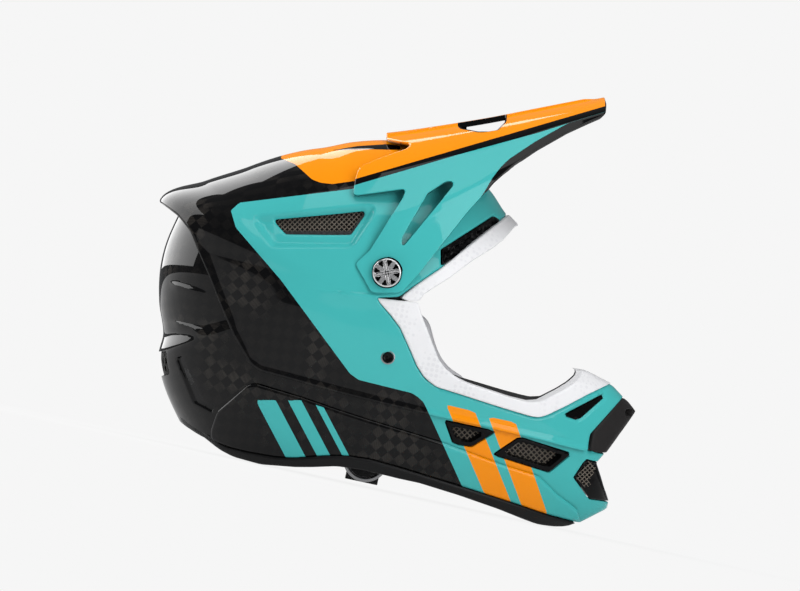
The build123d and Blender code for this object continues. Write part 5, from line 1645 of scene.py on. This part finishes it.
# %% Crush liner
def pulled_back(node, name, limit):
    """A copy of a CAD node whose points stay behind a limit in x at each height."""
    mesh = frame["nodes"][node].data.copy()
    spots = worn(vectors(mesh, "co"))
    heights, fronts = zip(*limit)
    front = np.interp(spots[:, 2], heights, fronts)
    near = (spots[:, 2] > heights[0]) & (spots[:, 2] < heights[-1]) & (spots[:, 0] > front)
    spots[near, 0] = front[near]
    move_to(mesh, standing(spots))
    mesh.update()
    coated(mesh, bead_foam)
    joined(added(name, mesh), "shell", node)
    print(name, int(near.sum()), "points pulled back")


pulled_back("eps_liner", "crush_liner", [(5, 74.0), (24.7, 84.5), (35.8, 94.0), (46, 100.0)])

# %% [markdown]
# ## CAD nodes with better finishes
# Nodes whose shape is right stay, and only their material changes.

# %% Finishes of the CAD nodes
node_finish = {
    "guard_grey": guard_grey, "black_gloss": gloss_black, "aluminium": machined, "steel": steel,
    "wire_net": wire_black, "crush_foam": bead_foam, "soft_lining": knit, "webbing": webbing,
    "trim_white": white_rubber, "trim_black": black_rubber, "visor_paint": visor_paint,
    "shell_gloss_black": gloss_black}
for part in frame["record"]["subparts"]:
    coated(frame["nodes"][part["node"]].data, node_finish[part["material_slot"]])

# %% [markdown]
# ## Floor, world and lamps
# The floor and the world look pale grey to the camera. Reflections see the floor's grey too,
# a little weaker, while the world lights them only faintly.
# Big soft lamps light the helmet from above, from the front and from behind.

# %% Stage
PALE = linear(246, 246, 246)


def pale_world():
    world = bpy.data.worlds.new("studio")
    bpy.context.scene.world = world
    world.use_nodes = True
    tree = world.node_tree
    tree.nodes.clear()
    out = tree.nodes.new("ShaderNodeOutputWorld")
    seen, light = tree.nodes.new("ShaderNodeBackground"), tree.nodes.new("ShaderNodeBackground")
    seen.inputs["Color"].default_value = (*PALE, 1)
    light.inputs["Color"].default_value = (0.95, 0.97, 1.0, 1)
    light.inputs["Strength"].default_value = 0.2
    path = tree.nodes.new("ShaderNodeLightPath")
    most = tree.nodes.new("ShaderNodeMath")
    most.operation = "MAXIMUM"
    mix = tree.nodes.new("ShaderNodeMixShader")
    linked(tree, (
        (path.outputs["Is Camera Ray"], most.inputs[0]),
        (path.outputs["Is Transmission Ray"], most.inputs[1]), (most.outputs[0], mix.inputs[0]),
        (light.outputs[0], mix.inputs[1]), (seen.outputs[0], mix.inputs[2]), (mix.outputs[0], out.inputs[0])))


def lamp(name, place, size, power, target=(0, 0, 0.15)):
    data = bpy.data.lights.new(name, "AREA")
    data.shape = "RECTANGLE"
    data.size, data.size_y = size
    data.energy = power
    made = added(name, data)
    made.location = place
    made.rotation_euler = (Vector(target) - Vector(place)).to_track_quat("-Z", "Y").to_euler()


def floor_disc():
    bm = bmesh.new()
    bmesh.ops.create_circle(bm, cap_ends=True, segments=96, radius=1.6)
    mesh = bpy.data.meshes.new("floor")
    bm.to_mesh(mesh)
    bm.free()
    floor = added("floor", mesh)
    finish = Finish("floor_pale", PALE, 0.9)
    tree = finish.tree
    glow = tree.nodes.new("ShaderNodeEmission")
    glow.inputs["Color"].default_value = (*PALE, 1)
    path = tree.nodes.new("ShaderNodeLightPath")
    x, y, _ = finish.axes()
    far = (((x * x + y * y).sum("SQRT") - 0.25) / 0.25).clipped() * 0.07 + 0.93
    seen, glossy, through = (Wire(finish, path.outputs[f"Is {kind} Ray"])
                             for kind in ("Camera", "Glossy", "Transmission"))
    share = (seen + glossy * 0.6 + through).clipped() * far
    mix = tree.nodes.new("ShaderNodeMixShader")
    linked(tree, (
        (share.socket, mix.inputs[0]), (finish.shader.outputs[0], mix.inputs[1]),
        (glow.outputs[0], mix.inputs[2]), (mix.outputs[0], tree.nodes["Material Output"].inputs[0])))
    mesh.materials.append(finish.material)


pale_world()
floor_disc()
lamp("overhead", (0.0, -0.6, 1.5), (1.6, 0.9), 11)
lamp("front_side", (1.0, -1.4, 0.7), (0.9, 1.2), 14)
lamp("rear", (-1.2, 0.9, 0.74), (2.2, 1.42), 45)
bpy.context.scene.view_settings.view_transform = "Standard"
